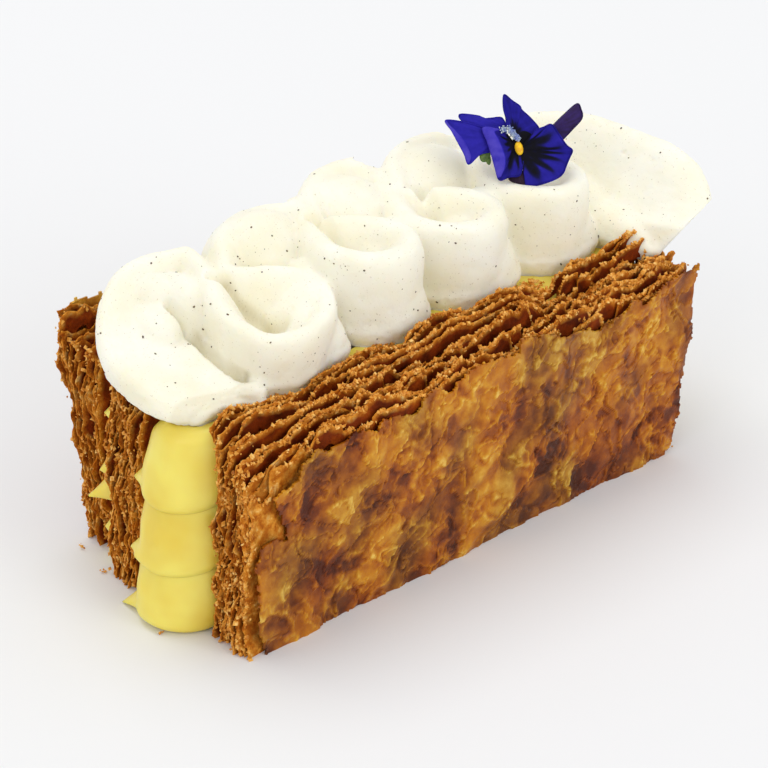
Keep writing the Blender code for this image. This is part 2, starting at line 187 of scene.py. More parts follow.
class Sheet:
    """One upright sheet of pastry in millimetres: where it stands and how uneven it is.

    foot and top are its front and back there, near is how far its cut near end is set back,
    step how far its foot stands out past that, and rise how far its top is over HEIGHT. Each
    leaf is how far through the sheet it lies, its thickness and how far it stands up."""

    def __init__(self, name, foot, top, near, step, rise, leaves, seed):
        self.name, self.foot, self.top, self.near, self.step = name, foot, top, near, step
        self.rise, self.leaves, self.seed = rise, leaves, seed

    def depth(self, x, z, share):
        """Y of the place that far through the sheet, with its leaves waved together."""
        up = z / HEIGHT
        front = self.foot[0] + (self.top[0] - self.foot[0]) * up
        back = self.foot[1] + (self.top[1] - self.foot[1]) * up
        waved = share + 0.13 * ripple(x / 15, z / 14, share * 2.6, self.seed)
        waved += 0.09 * ripple(x / 5.0, z / 6.5, share * 4.0, self.seed + 1)
        waved += 0.022 * ripple(x / 1.9, z / 2.4, share * 9.0, self.seed + 2)
        y = front + (back - front) * waved
        if self.name == "pastry_front":
            y += 1.8 * smooth_step((share - 0.7) / 0.3) * smooth_step((z - 37) / 8)
        return y

    def crest(self, x, share):
        """Height of the torn top edge of the leaf that far through the sheet."""
        crest = HEIGHT + self.rise + 2.2 * ripple(x / 11, share * 6, 0, self.seed + 3)
        crest += 1.4 * ripple(x / 3.1, share * 9, 0, self.seed + 4)
        crest += 0.55 * ripple(x / 1.1, share * 15, 0, self.seed + 5)
        crest -= 3.2 * smooth_step((ripple(x / 8, share * 40, 7, self.seed + 12) - 0.12) / 0.16)
        if self.name == "pastry_front":
            outer = 1 - share
            crest -= 2.6 * outer + 13.0 * max(0.0, outer - 0.35) ** 1.3 * (1 - smooth_step(x / 20))
            crest = blend(crest, 0.4 * (crest - HEIGHT) + inner_crest(x), smooth_step((share - 0.72) / 0.16))
        if self.name == "pastry_back":
            crest += 4.5 * smooth_step((share - 0.5) / 0.4) * (1 - smooth_step(x / 26))
        return crest

    def near_end(self, z, share):
        """X of the cut near end."""
        x = self.near - self.step * (1 - z / HEIGHT)
        x += 2.2 * ripple(z / 9, share * 8, 3, self.seed + 6) + 1.0 * ripple(z / 2.6, share * 11, 5, self.seed + 7)
        return x + 0.4 * ripple(z / 0.9, share * 15, 7, self.seed)

    def far_end(self, z, share):
        """X of the cut far end, which slants out towards its top."""
        x = LENGTH - 3.2 * (1 - z / HEIGHT) + 1.6 * ripple(z / 9, share * 6, 11, self.seed + 8)
        return x + 1.2 * ripple(z / 2.4, share * 9, 13, self.seed + 9) + 0.4 * ripple(z / 0.9, share * 15, 17, self.seed)


FRONT_LEAVES = (
    (0.04, 0.30, -0.6), (0.115, 0.26, 0.3), (0.15, 0.22, -0.2), (0.185, 0.24, -0.6), (0.27, 0.20, -3.6),
    (0.335, 0.26, 0.0), (0.37, 0.22, 0.5), (0.405, 0.24, 0.1), (0.50, 0.20, -4.2), (0.575, 0.26, 0.2),
    (0.61, 0.22, 0.6), (0.645, 0.24, 0.0), (0.73, 0.20, -3.4), (0.79, 0.26, 0.2), (0.83, 0.22, 0.5),
    (0.89, 0.20, -2.4), (0.95, 0.24, -0.2), (1.0, 0.28, 0.4),
)
INNER_LEAVES = (
    (0.0, 0.26, 0.6), (0.05, 0.24, 0.2), (0.09, 0.22, -0.3), (0.18, 0.20, -3.0), (0.26, 0.24, 0.2), (0.30, 0.24, 0.4),
    (0.38, 0.20, -1.0), (0.46, 0.20, -3.4), (0.55, 0.24, 0.0), (0.59, 0.24, 0.4), (0.66, 0.20, -2.0),
    (0.74, 0.20, -3.0), (0.82, 0.24, 0.2), (0.86, 0.24, 0.4), (0.94, 0.20, -1.2), (1.0, 0.26, 0.4),
)
SHEETS = (
    Sheet("pastry_front", (1.0, 10.8), (1.2, 11.1), 0.6, 1.2, 0.0, FRONT_LEAVES, seed=1),
    Sheet("pastry_middle", (29.9, 40.5), (29.8, 40.6), -1.4, 1.4, -1.6, INNER_LEAVES, seed=21),
    Sheet("pastry_back", (47.1, 53.2), (49.0, 59.8), 0.9, -2.0, -0.6, INNER_LEAVES, seed=41),
)


def leaf(sheet, share, thickness, lift):
    """One leaf of the sheet: a grid set upright, cleared inside its rim and given thickness."""
    deselect_all()
    bpy.ops.mesh.primitive_grid_add(x_subdivisions=LEAF_CELLS[0], y_subdivisions=LEAF_CELLS[1], size=1)
    piece = new_piece(f"{sheet.name}_leaf")
    kept, rim = [], []
    for vert in piece.data.vertices:
        along, up = vert.co.x + 0.5, vert.co.y + 0.5
        near, far = sheet.near_end(up * HEIGHT, share), sheet.far_end(up * HEIGHT, share)
        crest = sheet.crest(near + (far - near) * along, share) + lift
        z = crest * up
        near, far = sheet.near_end(z, share), sheet.far_end(z, share)
        x = near + (far - near) * along
        vert.co = place(x, sheet.depth(x, z, share), z)
        inside = min(x - near, far - x, crest - z)
        open_corner = sheet.name == "pastry_front" and share < 0.25 and x < 15
        kept.append(min(inside, far - x + 1.4) < RIM_DEPTH or z < FOOT_DEPTH or open_corner)
        bare = 0.72 + 0.5 * ripple(x / 2.5, z / 4, share * 9, sheet.seed) if open_corner else 0.0
        # rim is 1 at the leaf's cut edge and falls to 0 within 1.3 mm inside it. The leaf material paints the inside
        # darker as painted shade of the narrow gaps between leaves, and leaves the bared open corner light.
        rim.append(max(0.0, bare, 1 - inside / 1.3))
    piece.data.attributes.new("rim", "FLOAT", "POINT").data.foreach_set("value", rim)
    bm = bmesh.new()
    bm.from_mesh(piece.data)
    bm.verts.ensure_lookup_table()
    bmesh.ops.delete(bm, geom=[f for f in bm.faces if not any(kept[v.index] for v in f.verts)], context="FACES")
    bm.to_mesh(piece.data)
    bm.free()
    shell = piece.modifiers.new("thickness", "SOLIDIFY")
    shell.thickness = thickness * MM
    shell.offset = 0.0
    bpy.ops.object.modifier_apply(modifier=shell.name)
    return piece


def roughen_rim(piece, reach, seed):
    """Breaks the cut edges up into crumbs by moving their points."""
    picks = random.Random(seed)
    rim = piece.data.attributes["rim"].data
    for vert in piece.data.vertices:
        if rim[vert.index].value > 0.85:
            vert.co += Vector([picks.uniform(-1, 1) * r * MM for r in reach])


def sheet_core(sheet):
    """The plain inside of a sheet, well behind its cut edges."""
    deselect_all()
    bpy.ops.mesh.primitive_cube_add(size=1)
    piece = new_piece(f"{sheet.name}_core")
    for vert in piece.data.vertices:
        z = 0.4 if vert.co.z < 0 else HEIGHT + sheet.rise - CORE_DEPTH - 2.5
        x = sheet.near + CORE_NEAR_DEPTH if vert.co.x < 0 else LENGTH - 3.2 - CORE_DEPTH
        up = z / HEIGHT
        front = sheet.foot[0] + (sheet.top[0] - sheet.foot[0]) * up
        back = sheet.foot[1] + (sheet.top[1] - sheet.foot[1]) * up
        y = front + 0.9 if vert.co.y < 0 else back - 0.7
        vert.co = place(x, y, z)
    return piece


def join_pieces(name, pieces):
    """Joins the pieces into the first, under a new name."""
    deselect_all()
    for piece in pieces:
        piece.select_set(True)
    bpy.context.view_layer.objects.active = pieces[0]
    bpy.ops.object.join()
    bpy.ops.object.transform_apply(location=True, rotation=True, scale=True)
    return new_piece(name)


def new_material(name):
    """A material with its node tree and its Principled shader."""
    material = bpy.data.materials.new(name)
    material.use_nodes = True
    return material, material.node_tree, material.node_tree.nodes["Principled BSDF"]


def add_node(tree, kind, **inputs):
    """A node of that kind; each keyword sets the input of that name, with _ for a space."""
    node = tree.nodes.new(kind)
    for name, value in inputs.items():
        socket = node.inputs[name.replace("_", " ")]
        if isinstance(value, bpy.types.NodeSocket):
            tree.links.new(value, socket)
        else:
            socket.default_value = value
    return node


def object_noise(tree, scale, detail=4.0, roughness_and_torn_shade=0.55, stretch=(1, 1, 1)):
    """Noise in the piece's own space, with stretch as how fast it changes along each axis."""
    coords = tree.nodes.new("ShaderNodeTexCoord")
    mapping = tree.nodes.new("ShaderNodeMapping")
    mapping.inputs["Scale"].default_value = stretch
    tree.links.new(coords.outputs["Object"], mapping.inputs["Vector"])
    return add_node(
        tree, "ShaderNodeTexNoise", Vector=mapping.outputs["Vector"], Scale=scale, Detail=detail, Roughness=roughness_and_torn_shade
    ).outputs["Fac"]


def colour_ramp(tree, value, stops):
    """Colours a value; each stop is its place and its linear colour."""
    ramp = tree.nodes.new("ShaderNodeValToRGB")
    tree.links.new(value, ramp.inputs["Fac"])
    elements = ramp.color_ramp.elements
    while len(elements) < len(stops):
        elements.new(0.5)
    for element, (where, colour) in zip(elements, stops):
        element.position = where
        element.color = (*colour, 1.0)
    return ramp.outputs["Color"]


def mix_colour(tree, share, a, b, blend="MIX"):
    """Mixes colour b over colour a by a share, which is a number or a socket."""
    mix = tree.nodes.new("ShaderNodeMix")
    mix.data_type = "RGBA"
    mix.blend_type = blend
    for socket, value in ((mix.inputs["Factor"], share), (mix.inputs["A"], a), (mix.inputs["B"], b)):
        if isinstance(value, bpy.types.NodeSocket):
            tree.links.new(value, socket)
        else:
            socket.default_value = value
    return mix.outputs["Result"]


def attribute_value(tree, name):
    """A value that the mesh carries at its points."""
    node = tree.nodes.new("ShaderNodeAttribute")
    node.attribute_name = name
    return node.outputs["Fac"]


def bump(tree, shader, height, depth):
    """Small relief of that depth in metres."""
    node = add_node(tree, "ShaderNodeBump", Height=height, Distance=depth, Strength=1.0)
    tree.links.new(node.outputs["Normal"], shader.inputs["Normal"])


def srgb(red, green, blue):
    """A linear colour from the 0 to 255 values that a screen shows."""
    def linear(value):
        value /= 255
        return value / 12.92 if value <= 0.04045 else ((value + 0.055) / 1.055) ** 2.4

    return (linear(red), linear(green), linear(blue))


# The leaves keep a golden bake near their cut edges. Further in, where they face the narrow gaps between them, they are
# painted dark red-brown: painted shade of the gaps over the deeper bake. The rim mark carries the mix.
leaf_material, tree, shader = new_material("flaky pastry leaves")
mottle = object_noise(tree, 420, detail=6, roughness_and_torn_shade=0.65)
leaf_colour = colour_ramp(tree, mottle, (
    (0.30, srgb(152, 72, 8)), (0.45, srgb(200, 116, 26)), (0.57, srgb(234, 160, 58)), (0.70, srgb(252, 212, 130)),
))
shaded_inner_colour = colour_ramp(tree, object_noise(tree, 300, detail=3), (
    (0.30, srgb(76, 24, 2)), (0.55, srgb(128, 48, 4)), (0.75, srgb(168, 78, 10)),
))
tree.links.new(mix_colour(tree, attribute_value(tree, "rim"), shaded_inner_colour, leaf_colour), shader.inputs["Base Color"])
shader.inputs["Roughness"].default_value = 0.6
shader.inputs["Specular IOR Level"].default_value = 0.1
bump(tree, shader, object_noise(tree, 1500, detail=6, roughness_and_torn_shade=0.7), 0.35 * MM)

for sheet in SHEETS:
    leaves = [leaf(sheet, *shape) for shape in sheet.leaves]
    for index, piece in enumerate(leaves):
        roughen_rim(piece, (0.15, 0.09, 0.15), sheet.seed * 100 + index)
    stack = join_pieces(f"{sheet.name}_leaves", leaves + [sheet_core(sheet)])
    stack.data.materials.clear()
    stack.data.materials.append(leaf_material)
    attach(stack, "root")
    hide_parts(sheet.name)

# ------------------------------------------------------------------ pastry crumbs
# The cut edges of the leaves break up into crumbs and small shards, a quarter of a millimetre
# to just over one across, baked on where they broke. Each is a turned and squashed ball.


def scatter(name, grains, sides=5):
    """One piece of small lumps; each grain is its middle, its turn and its size on three axes."""
    bm = bmesh.new()
    bmesh.ops.create_uvsphere(bm, u_segments=sides, v_segments=sides - 2, radius=0.5)
    shape = [v.co.copy() for v in bm.verts]
    facets = [[v.index for v in f.verts] for f in bm.faces]
    bm.free()
    points, faces = [], []
    for middle, turn, size in grains:
        base = len(points)
        points.extend(middle + turn @ Vector((c.x * size[0], c.y * size[1], c.z * size[2])) for c in shape)
        faces.extend([base + i for i in facet] for facet in facets)
    mesh = bpy.data.meshes.new(name)
    mesh.from_pydata(points, [], faces)
    piece = bpy.data.objects.new(name, mesh)
    scene.collection.objects.link(piece)
    return piece


def edge_crumbs(sheet, count, top_share):
    """Crumbs along the top edges and both cut ends of the sheet's thick leaves."""
    picks = random.Random(sheet.seed)
    thick = [leaf for leaf in sheet.leaves if leaf[1] > 0.21]
    grains = []
    while len(grains) < count:
        share, thickness, lift = picks.choice(thick)
        across = picks.uniform(-0.9, 0.9) * thickness
        side = picks.random()
        if side < top_share:
            x = picks.uniform(1.0, LENGTH - 1.0)
            z = sheet.crest(x, share) + lift - picks.uniform(-0.15, 0.5)
            x = max(x, sheet.near_end(z, share))
        else:
            z = sheet.crest(0, share) * picks.random()
            ends = sheet.near_end(z, share), sheet.far_end(z, share)
            x = ends[0] + picks.uniform(-0.1, 0.5) if side < (1 + top_share) / 2 else ends[1] - picks.uniform(-0.1, 0.5)
            if picks.random() < 0.3:
                share = picks.random()
        size = picks.choice((0.3, 0.4, 0.5, 0.7, 0.9, 1.3)) * MM
        turn = Euler((picks.uniform(0, 6.3), picks.uniform(0, 6.3), picks.uniform(0, 6.3))).to_matrix()
        stretch = (size * picks.uniform(0.8, 1.2), size * picks.uniform(0.7, 1.1), size * picks.uniform(0.35, 0.8))
        grains.append((place(x, sheet.depth(x, z, share) + across, max(z, 0.3)), turn, stretch))
    return grains


crumb_material, tree, shader = new_material("pastry crumb")
crumb_colour = colour_ramp(tree, object_noise(tree, 900, detail=3), (
    (0.30, srgb(170, 92, 18)), (0.44, srgb(212, 138, 42)), (0.56, srgb(236, 172, 74)), (0.70, srgb(250, 210, 130)),
))
tree.links.new(crumb_colour, shader.inputs["Base Color"])
shader.inputs["Roughness"].default_value = 0.5
shader.inputs["Specular IOR Level"].default_value = 0.3


def fallen_crumbs():
    """Clusters of crumbs: a few on the table, and a strip of them on the custard beside the cream."""
    picks = random.Random(5)
    heaps = [(-1.5, 51.0, 0.4, 1.0, 9), (-0.6, 4.4, 0.4, 1.1, 12), (1.6, 2.6, 0.3, 0.7, 5), (-5.6, 29.5, 0.3, 0.8, 5)]
    heaps += [(120.5, 0.4, 0.3, 0.6, 3), (-8.0, 17.6, 0.2, 0.6, 4), (-3.4, 41.6, 0.3, 0.9, 6)]
    for _ in range(260):
        x = picks.uniform(9, 92)
        heaps.append((x, picks.uniform(12.6, 18.0), CUSTARD_TOP + picks.uniform(-0.1, 0.6), 0.9, 8))
    grains = []
    for x, y, z, reach, count in heaps:
        for _ in range(count):
            middle = place(x + picks.gauss(0, 0.45) * reach, y + picks.gauss(0, 0.45) * reach, z + picks.uniform(0, 0.5) * reach)
            turn = Euler((picks.uniform(0, 6.3), picks.uniform(0, 6.3), picks.uniform(0, 6.3))).to_matrix()
            size = picks.choice((0.3, 0.45, 0.6, 0.9)) * MM
            grains.append((middle, turn, (size * picks.uniform(0.8, 1.2), size, size * picks.uniform(0.4, 0.8))))
    return grains


CUSTARD_TOP = 43.2
crumbs = edge_crumbs(SHEETS[0], 10500, 0.72) + edge_crumbs(SHEETS[1], 1900, 0.1) + edge_crumbs(SHEETS[2], 2200, 0.3)
crumbs += fallen_crumbs()
crumb_piece = scatter("pastry_crumbs", crumbs, sides=4)
crumb_piece.data.materials.append(crumb_material)
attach(crumb_piece, "root")

# ------------------------------------------------------------------ baked outer crust
# The outer face of the front and back sheets, which lay against the baking tray: a glazed,
# blistered skin a fraction of a millimetre thick that has torn away along the cut edges.
# It is a fine upright grid, cut to its torn outline and pushed in and out.

CRUST_THICKNESS = 0.45
FRONT_OUTLINE = (
    (3.0, 0.0), (1.2, 5.4), (0.9, 9.6), (0.8, 14.6), (0.0, 19.1), (1.6, 24.4), (5.2, 24.8), (8.6, 23.0), (7.8, 25.8),
    (6.6, 28.2), (6.1, 30.3), (4.1, 34.3), (8.4, 35.2), (10.6, 35.5), (11.0, 37.7), (14.9, 41.2), (17.6, 39.4),
    (23.0, 39.6), (27.1, 40.6), (30.8, 38.6), (31.2, 40.4), (34.0, 40.3), (40.7, 38.6), (43.0, 40.7), (45.7, 42.0),
    (50.3, 40.0), (54.0, 42.6), (58.9, 43.3), (65.4, 42.6), (69.1, 41.7), (69.8, 44.6), (76.0, 43.9), (83.6, 40.7),
    (86.2, 41.6), (92.9, 38.9), (97.6, 40.4), (102.8, 42.8), (106.3, 40.8), (111.1, 42.6), (116.0, 43.9),
    (119.0, 43.4), (123.4, 44.6), (122.5, 38.4), (122.8, 30.0), (121.2, 21.2), (121.6, 11.3), (121.4, 8.7),
    (118.8, 2.1), (117.5, 0.0),
)
BACK_OUTLINE = (
    (4.0, 0.0), (2.6, 9.0), (3.6, 17.0), (1.8, 26.0), (3.4, 35.0), (1.6, 43.0), (3.0, 48.6), (7.0, 50.2), (12.0, 49.2),
    (18.0, 50.0), (26.0, 46.5), (38.0, 44.6), (55.0, 45.4), (70.0, 44.2), (90.0, 45.2), (108.0, 44.0), (121.0, 44.8),
    (121.6, 33.0), (119.6, 20.0), (119.8, 9.0), (118.0, 0.0),
)


def inside_outline(x, z, outline):
    """Whether a point lies inside the closed outline."""
    inside = False
    for (x1, z1), (x2, z2) in zip(outline, outline[1:] + outline[:1]):
        if (z1 > z) != (z2 > z) and x < x1 + (z - z1) / (z2 - z1) * (x2 - x1):
            inside = not inside
    return inside


def crust_relief(x, z, seed):
    """How far the crust stands out there, in millimetres, and how pale, creased and glazed it is; the tone holds a
    painted highlight along fold ridges and painted shade in creases.
    """
    slant = x - 0.30 * z
    bend = 1.1 * ripple(x / 8, z / 7, 0.0, seed)
    broad = ripple(slant / 11, z / 13, 0.5, seed + 1)
    blob = ripple(slant / 5.0 + bend, z / 6.4 - bend, 1.5, seed + 6)
    knob = ripple(x / 2.1 + bend, z / 2.6, 2.5, seed + 7)
    flake = ripple(slant / 8 + 0.6 * bend, z / 9, 3.0, seed + 2) + 0.26 * ripple(x / 2.2, z / 2.4, 4.0, seed + 3)
    flake += 0.09 * ripple(x / 0.7, z / 0.8, 4.0, seed + 4)
    step = smooth_step((flake - 0.14) / 0.03) + smooth_step((flake + 0.30) / 0.03)
    lip = max(0.0, 1 - abs(flake - 0.18) / 0.045) + max(0.0, 1 - abs(flake + 0.26) / 0.045)
    fold = ripple(slant / 7 + bend, z / 9.5 - 0.5 * bend, 7.0, seed + 9) + 0.10 * ripple(x / 1.4, z / 1.6, 8.0, seed)
    highlit_ridge = max(0.0, 1 - abs(fold - 0.05) / 0.06) ** 1.4
    crease = max(0.0, 1 - abs(fold + 0.06) / 0.05)
    smudge = smooth_step((ripple(x / 4.2, z / 5.0 + bend, 11.0, seed + 5) - 0.02) / 0.34) * (0.75 + 0.5 * knob)
    relief = 0.35 + 0.8 * broad + 0.60 * blob + 0.16 * knob + 0.30 * step + 0.14 * lip + 0.26 * highlit_ridge - 0.20 * crease
    tone = 0.46 + 0.26 * blob + 0.16 * knob + 0.10 * (step - 1) + 0.24 * ripple(x / 14, z / 11, 9.0, seed)
    tone += 0.22 * (z / HEIGHT - 0.48)
    # Painted highlight: the tone is raised along the fold ridges. Painted shade: it is lowered in the creases.
    tone += 0.20 * lip + 0.24 * highlit_ridge - 0.14 * crease - 0.28 * smudge
    glaze = 0.35 + 1.2 * ripple(slant / 9, z / 12, 12.0, seed + 3)
    return relief, min(1.0, max(0.0, tone)), min(1.0, max(0.0, glaze))


def crust(name, outline, face, cell, seed):
    """A blistered skin cut to the outline; face gives its Y there and is -1 or 1 for which way it looks."""
    width = max(x for x, z in outline) + 1.5
    height = max(z for x, z in outline) + 1.5
    deselect_all()
    bpy.ops.mesh.primitive_grid_add(x_subdivisions=round(width / cell), y_subdivisions=round(height / cell), size=1)
    piece = new_piece(name)
    side, surface = face
    marks = {"tone": [], "glaze": []}
    outside = []
    for vert in piece.data.vertices:
        x, z = (vert.co.x + 0.5) * width, (vert.co.y + 0.5) * height
        frayed_x = x + 0.75 * ripple(x / 1.6, z / 1.6, 1.0, seed + 7) + 0.45 * ripple(x / 0.6, z / 0.6, 2.0, seed)
        frayed_z = z + 0.60 * ripple(x / 1.5, z / 1.5, 5.0, seed + 8) + 0.45 * ripple(x / 0.6, z / 0.6, 6.0, seed)
        outside.append(not inside_outline(frayed_x, max(frayed_z, 0.05), outline))
        relief, tone, glaze = crust_relief(x, z, seed)
        marks["tone"].append(tone)
        marks["glaze"].append(glaze)
        vert.co = place(x, surface(x, z) + side * relief, max(z, 0.0))
    for key, values in marks.items():
        piece.data.attributes.new(key, "FLOAT", "POINT").data.foreach_set("value", values)
    bm = bmesh.new()
    bm.from_mesh(piece.data)
    bm.verts.ensure_lookup_table()
    bmesh.ops.delete(bm, geom=[v for v in bm.verts if outside[v.index]], context="VERTS")
    if side > 0:
        bmesh.ops.reverse_faces(bm, faces=bm.faces)
    bm.to_mesh(piece.data)
    bm.free()
    shell = piece.modifiers.new("thickness", "SOLIDIFY")
    shell.thickness = CRUST_THICKNESS * MM
    shell.offset = -1.0
    bpy.ops.object.modifier_apply(modifier=shell.name)
    return piece


def math_node(tree, operation, a, b):
    node = tree.nodes.new("ShaderNodeMath")
    node.operation = operation
    for socket, value in zip(node.inputs, (a, b)):
        if isinstance(value, bpy.types.NodeSocket):
            tree.links.new(value, socket)
        else:
            socket.default_value = value
    return node.outputs[0]


crust_material, tree, shader = new_material("baked crust")
fine = math_node(tree, "MULTIPLY", object_noise(tree, 520, detail=7, roughness_and_torn_shade=0.68), 0.62)
tone = math_node(tree, "ADD", attribute_value(tree, "tone"), math_node(tree, "SUBTRACT", fine, 0.30))
warm = colour_ramp(tree, tone, (
    (0.06, srgb(80, 30, 6)), (0.24, srgb(122, 54, 6)), (0.42, srgb(160, 84, 8)), (0.60, srgb(188, 114, 16)),
    (0.78, srgb(208, 146, 36)), (0.96, srgb(232, 190, 88)),
))
dull = colour_ramp(tree, tone, (
    (0.06, srgb(72, 34, 14)), (0.28, srgb(108, 58, 16)), (0.48, srgb(146, 88, 18)), (0.68, srgb(180, 128, 34)),
    (0.92, srgb(214, 176, 80)),
))
tree.links.new(mix_colour(tree, attribute_value(tree, "glaze"), warm, dull), shader.inputs["Base Color"])
shader.inputs["Roughness"].default_value = 0.34
shader.inputs["Specular IOR Level"].default_value = 0.22
bump(tree, shader, object_noise(tree, 900, detail=6, roughness_and_torn_shade=0.65), 0.16 * MM)


def front_face(x, z):
    return 0.35


def back_face(x, z):
    return 53.4 + (60.2 - 53.4) * z / HEIGHT


for name, outline, face, cell, seed in (
    ("front_crust", FRONT_OUTLINE, (-1, front_face), 0.40, 61),
    ("back_crust", BACK_OUTLINE, (1, back_face), 0.60, 81),
):
    skin = crust(name, outline, face, cell, seed)
    skin.data.materials.append(crust_material)
    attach(skin, "root")

# ------------------------------------------------------------------ custard ropes
# Stiff vanilla custard, piped in three ropes on top of each other in both gaps. The ropes
# are pressed flat on their neighbours and bulge out past the near end as smooth tongues,
# with small peaks where the nozzle was pulled away.


class Rope:
    """One custard rope in millimetres: its box, and (y, z, reach) of the peaks on its near end."""

    def __init__(self, node, x, y, z, peaks=()):
        self.node, self.x, self.y, self.z, self.peaks = node, x, y, z, peaks
        self.wide = y[1] - y[0] > 12


ROPES = (
    Rope("custard_front_low", (-8.8, 119.9), (11.1, 30.2), (0.05, 15.2), ((28.2, 1.9, 4.0), (28.6, 10.6, 0.8))),
    Rope("custard_front_mid", (-7.9, 119.1), (11.1, 29.8), (13.4, 29.2), ((27.8, 14.4, 2.6), (25.0, 14.4, 0.8))),
    Rope("custard_front_high", (-7.2, 118.3), (11.1, 29.8), (27.4, 43.3), ((28.2, 29.6, 2.6),)),
    Rope("custard_back_low", (0.2, 119.5), (40.7, 47.2), (0.05, 15.0), ((44.6, 8.0, 1.4),)),
    Rope("custard_back_mid", (-0.6, 119.0), (40.7, 47.4), (14.2, 29.4), ((44.0, 17.0, 3.6), (44.0, 22.0, 1.6))),
    Rope("custard_back_high", (1.4, 118.5), (40.7, 47.8), (28.8, 41.4), ((45.9, 33.0, 1.9),)),
)
TONGUE_TIP_Y = 21.0  # where the front ropes reach out furthest
ROPE_ROUNDING = 3.6
ROPE_PRESSED = 1.45  # how much tighter its edges are where it rests on its neighbour
ROPE_CUTS = 40
PEAK_WIDTH = 3.2  # how wide the root of a peak is


def rope_point(rope, corner, seed):
    """Where a point of the unit cube lies on the rope's surface."""
    along = corner.x + 0.5
    along -= 0.92 * math.sin(2 * math.pi * along) / (2 * math.pi)
    sides = (rope.x, rope.y, [z * ROPE_PRESSED for z in rope.z])
    shares = (along, corner.y + 0.5, corner.z + 0.5)
    box = Vector([low + (high - low) * share for (low, high), share in zip(sides, shares)])
    rounding = min(ROPE_ROUNDING, (rope.y[1] - rope.y[0]) * 0.42)
    core = Vector([max(low + rounding, min(high - rounding, c)) for c, (low, high) in zip(box, sides)])
    point = core + (box - core).normalized() * rounding if (box - core).length > 0 else box
    point.z /= ROPE_PRESSED
    up = (point.z - rope.z[0]) / (rope.z[1] - rope.z[0])
    end = 1 - smooth_step((point.x - rope.x[0]) / 18)
    if rope.wide:
        right, left = max(0.0, TONGUE_TIP_Y - point.y) / 9.8, max(0.0, point.y - TONGUE_TIP_Y) / 8.8
        point.x += end * (7.2 * right**2.1 + 7.8 * left**2.6)
        lowered = end * (1 - min(1.0, right + left) ** 2)
        point.z -= 2.0 * lowered * (1 - up) * (rope.z[0] > 1)
        if rope.z[1] > 40:
            point.x += end * 1.2 * up**1.4
            point.z -= end * 3.6 * up**3 * smooth_step(left)
    else:
        point.x += end * 0.3 * max(0.0, point.y - 42.6) ** 1.6
    point.x += end * (3.4 * max(0.0, up - 0.15) ** 1.5 - 0.5)
    point.x -= end * 0.5 * ripple(point.y / 6, point.z / 5, 0, seed)
    for y, z, reach in rope.peaks:
        gap = math.hypot(point.y - y, (point.z - z) * 1.3)
        pull = reach * end * max(0.0, 1 - gap / PEAK_WIDTH) ** 1.9
        point.x -= pull * 0.8
        point.y += pull * 0.7
        point.z -= pull * 0.45
    point.y += 0.10 * ripple(point.x / 6, point.z / 5, 2, seed)
    point.z = max(point.z, 0.03)
    return place(*point)


def custard_rope(rope, seed):
    """A cube cut up finely and rounded to the rope's shape."""
    deselect_all()
    bpy.ops.mesh.primitive_cube_add(size=1)
    piece = new_piece(f"{rope.node}_rope")
    bpy.ops.object.mode_set(mode="EDIT")
    bpy.ops.mesh.select_all(action="SELECT")
    bpy.ops.mesh.subdivide(number_cuts=ROPE_CUTS)
    bpy.ops.object.mode_set(mode="OBJECT")
    for vert in piece.data.vertices:
        vert.co = rope_point(rope, vert.co, seed)
    piece.data.polygons.foreach_set("use_smooth", [True] * len(piece.data.polygons))
    return piece


custard_material, tree, shader = new_material("vanilla custard")
custard_colour = colour_ramp(tree, object_noise(tree, 90, detail=2), (
    (0.35, srgb(236, 209, 78)), (0.65, srgb(246, 230, 108)),
))
tree.links.new(custard_colour, shader.inputs["Base Color"])
shader.inputs["Roughness"].default_value = 0.38
shader.inputs["Subsurface Weight"].default_value = 0.4
shader.inputs["Subsurface Radius"].default_value = (1.0, 0.8, 0.25)
shader.inputs["Subsurface Scale"].default_value = 3.0 * MM
bump(tree, shader, object_noise(tree, 260, detail=3), 0.12 * MM)

for index, rope in enumerate(ROPES):
    tongue = custard_rope(rope, 90 + index)
    tongue.data.materials.append(custard_material)
    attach(tongue, "root")
    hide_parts(rope.node)

# ------------------------------------------------------------------ whipped vanilla cream
# One ribbon of whipped cream piped standing on edge: a petal laid down over the near end,
# four looped folds, and a last petal hanging over the far end. Its section is swept along
# the piping path and the folds are fused where they touch, then cut flat where it sits.

CREAM_BASE = 44.0
RIBBON_HEIGHT = 18.0
TURN_LEAN = math.radians(8)
STROKE_START, FIRST_TURN = Vector((13.0, 13.0)), Vector((19.0, 50.5))
FIRST_PETAL_HEIGHT = 19.5
FIRST_PETAL_LEAN = math.radians(67)
FIRST_PETAL_SINK = 5.0
LAST_TURN, STROKE_END = Vector((118.6, 50.5)), Vector((124.6, 0.8))
LAST_PETAL_HEIGHT = 20.4
LAST_PETAL_LEAN = math.radians(29)
LAST_PETAL_DROOP = math.radians(12)  # how much further it leans at its end
LAST_PETAL_LIFT = 6.0
LAST_PETAL_TIP = (127.2, 3.6, 54.3)
LAST_PETAL_CUT = (-2.31, 5.91, 4.64)  # across the slanting face that its end was pulled off along
FOLD_STEPS = 5  # path points from one crest point to the next
STROKE_STEPS = 24  # and along each free stroke at the ends
LOOSE_FOOT = 4.6  # how far the ribbon's foot lies inside its crest in a turn
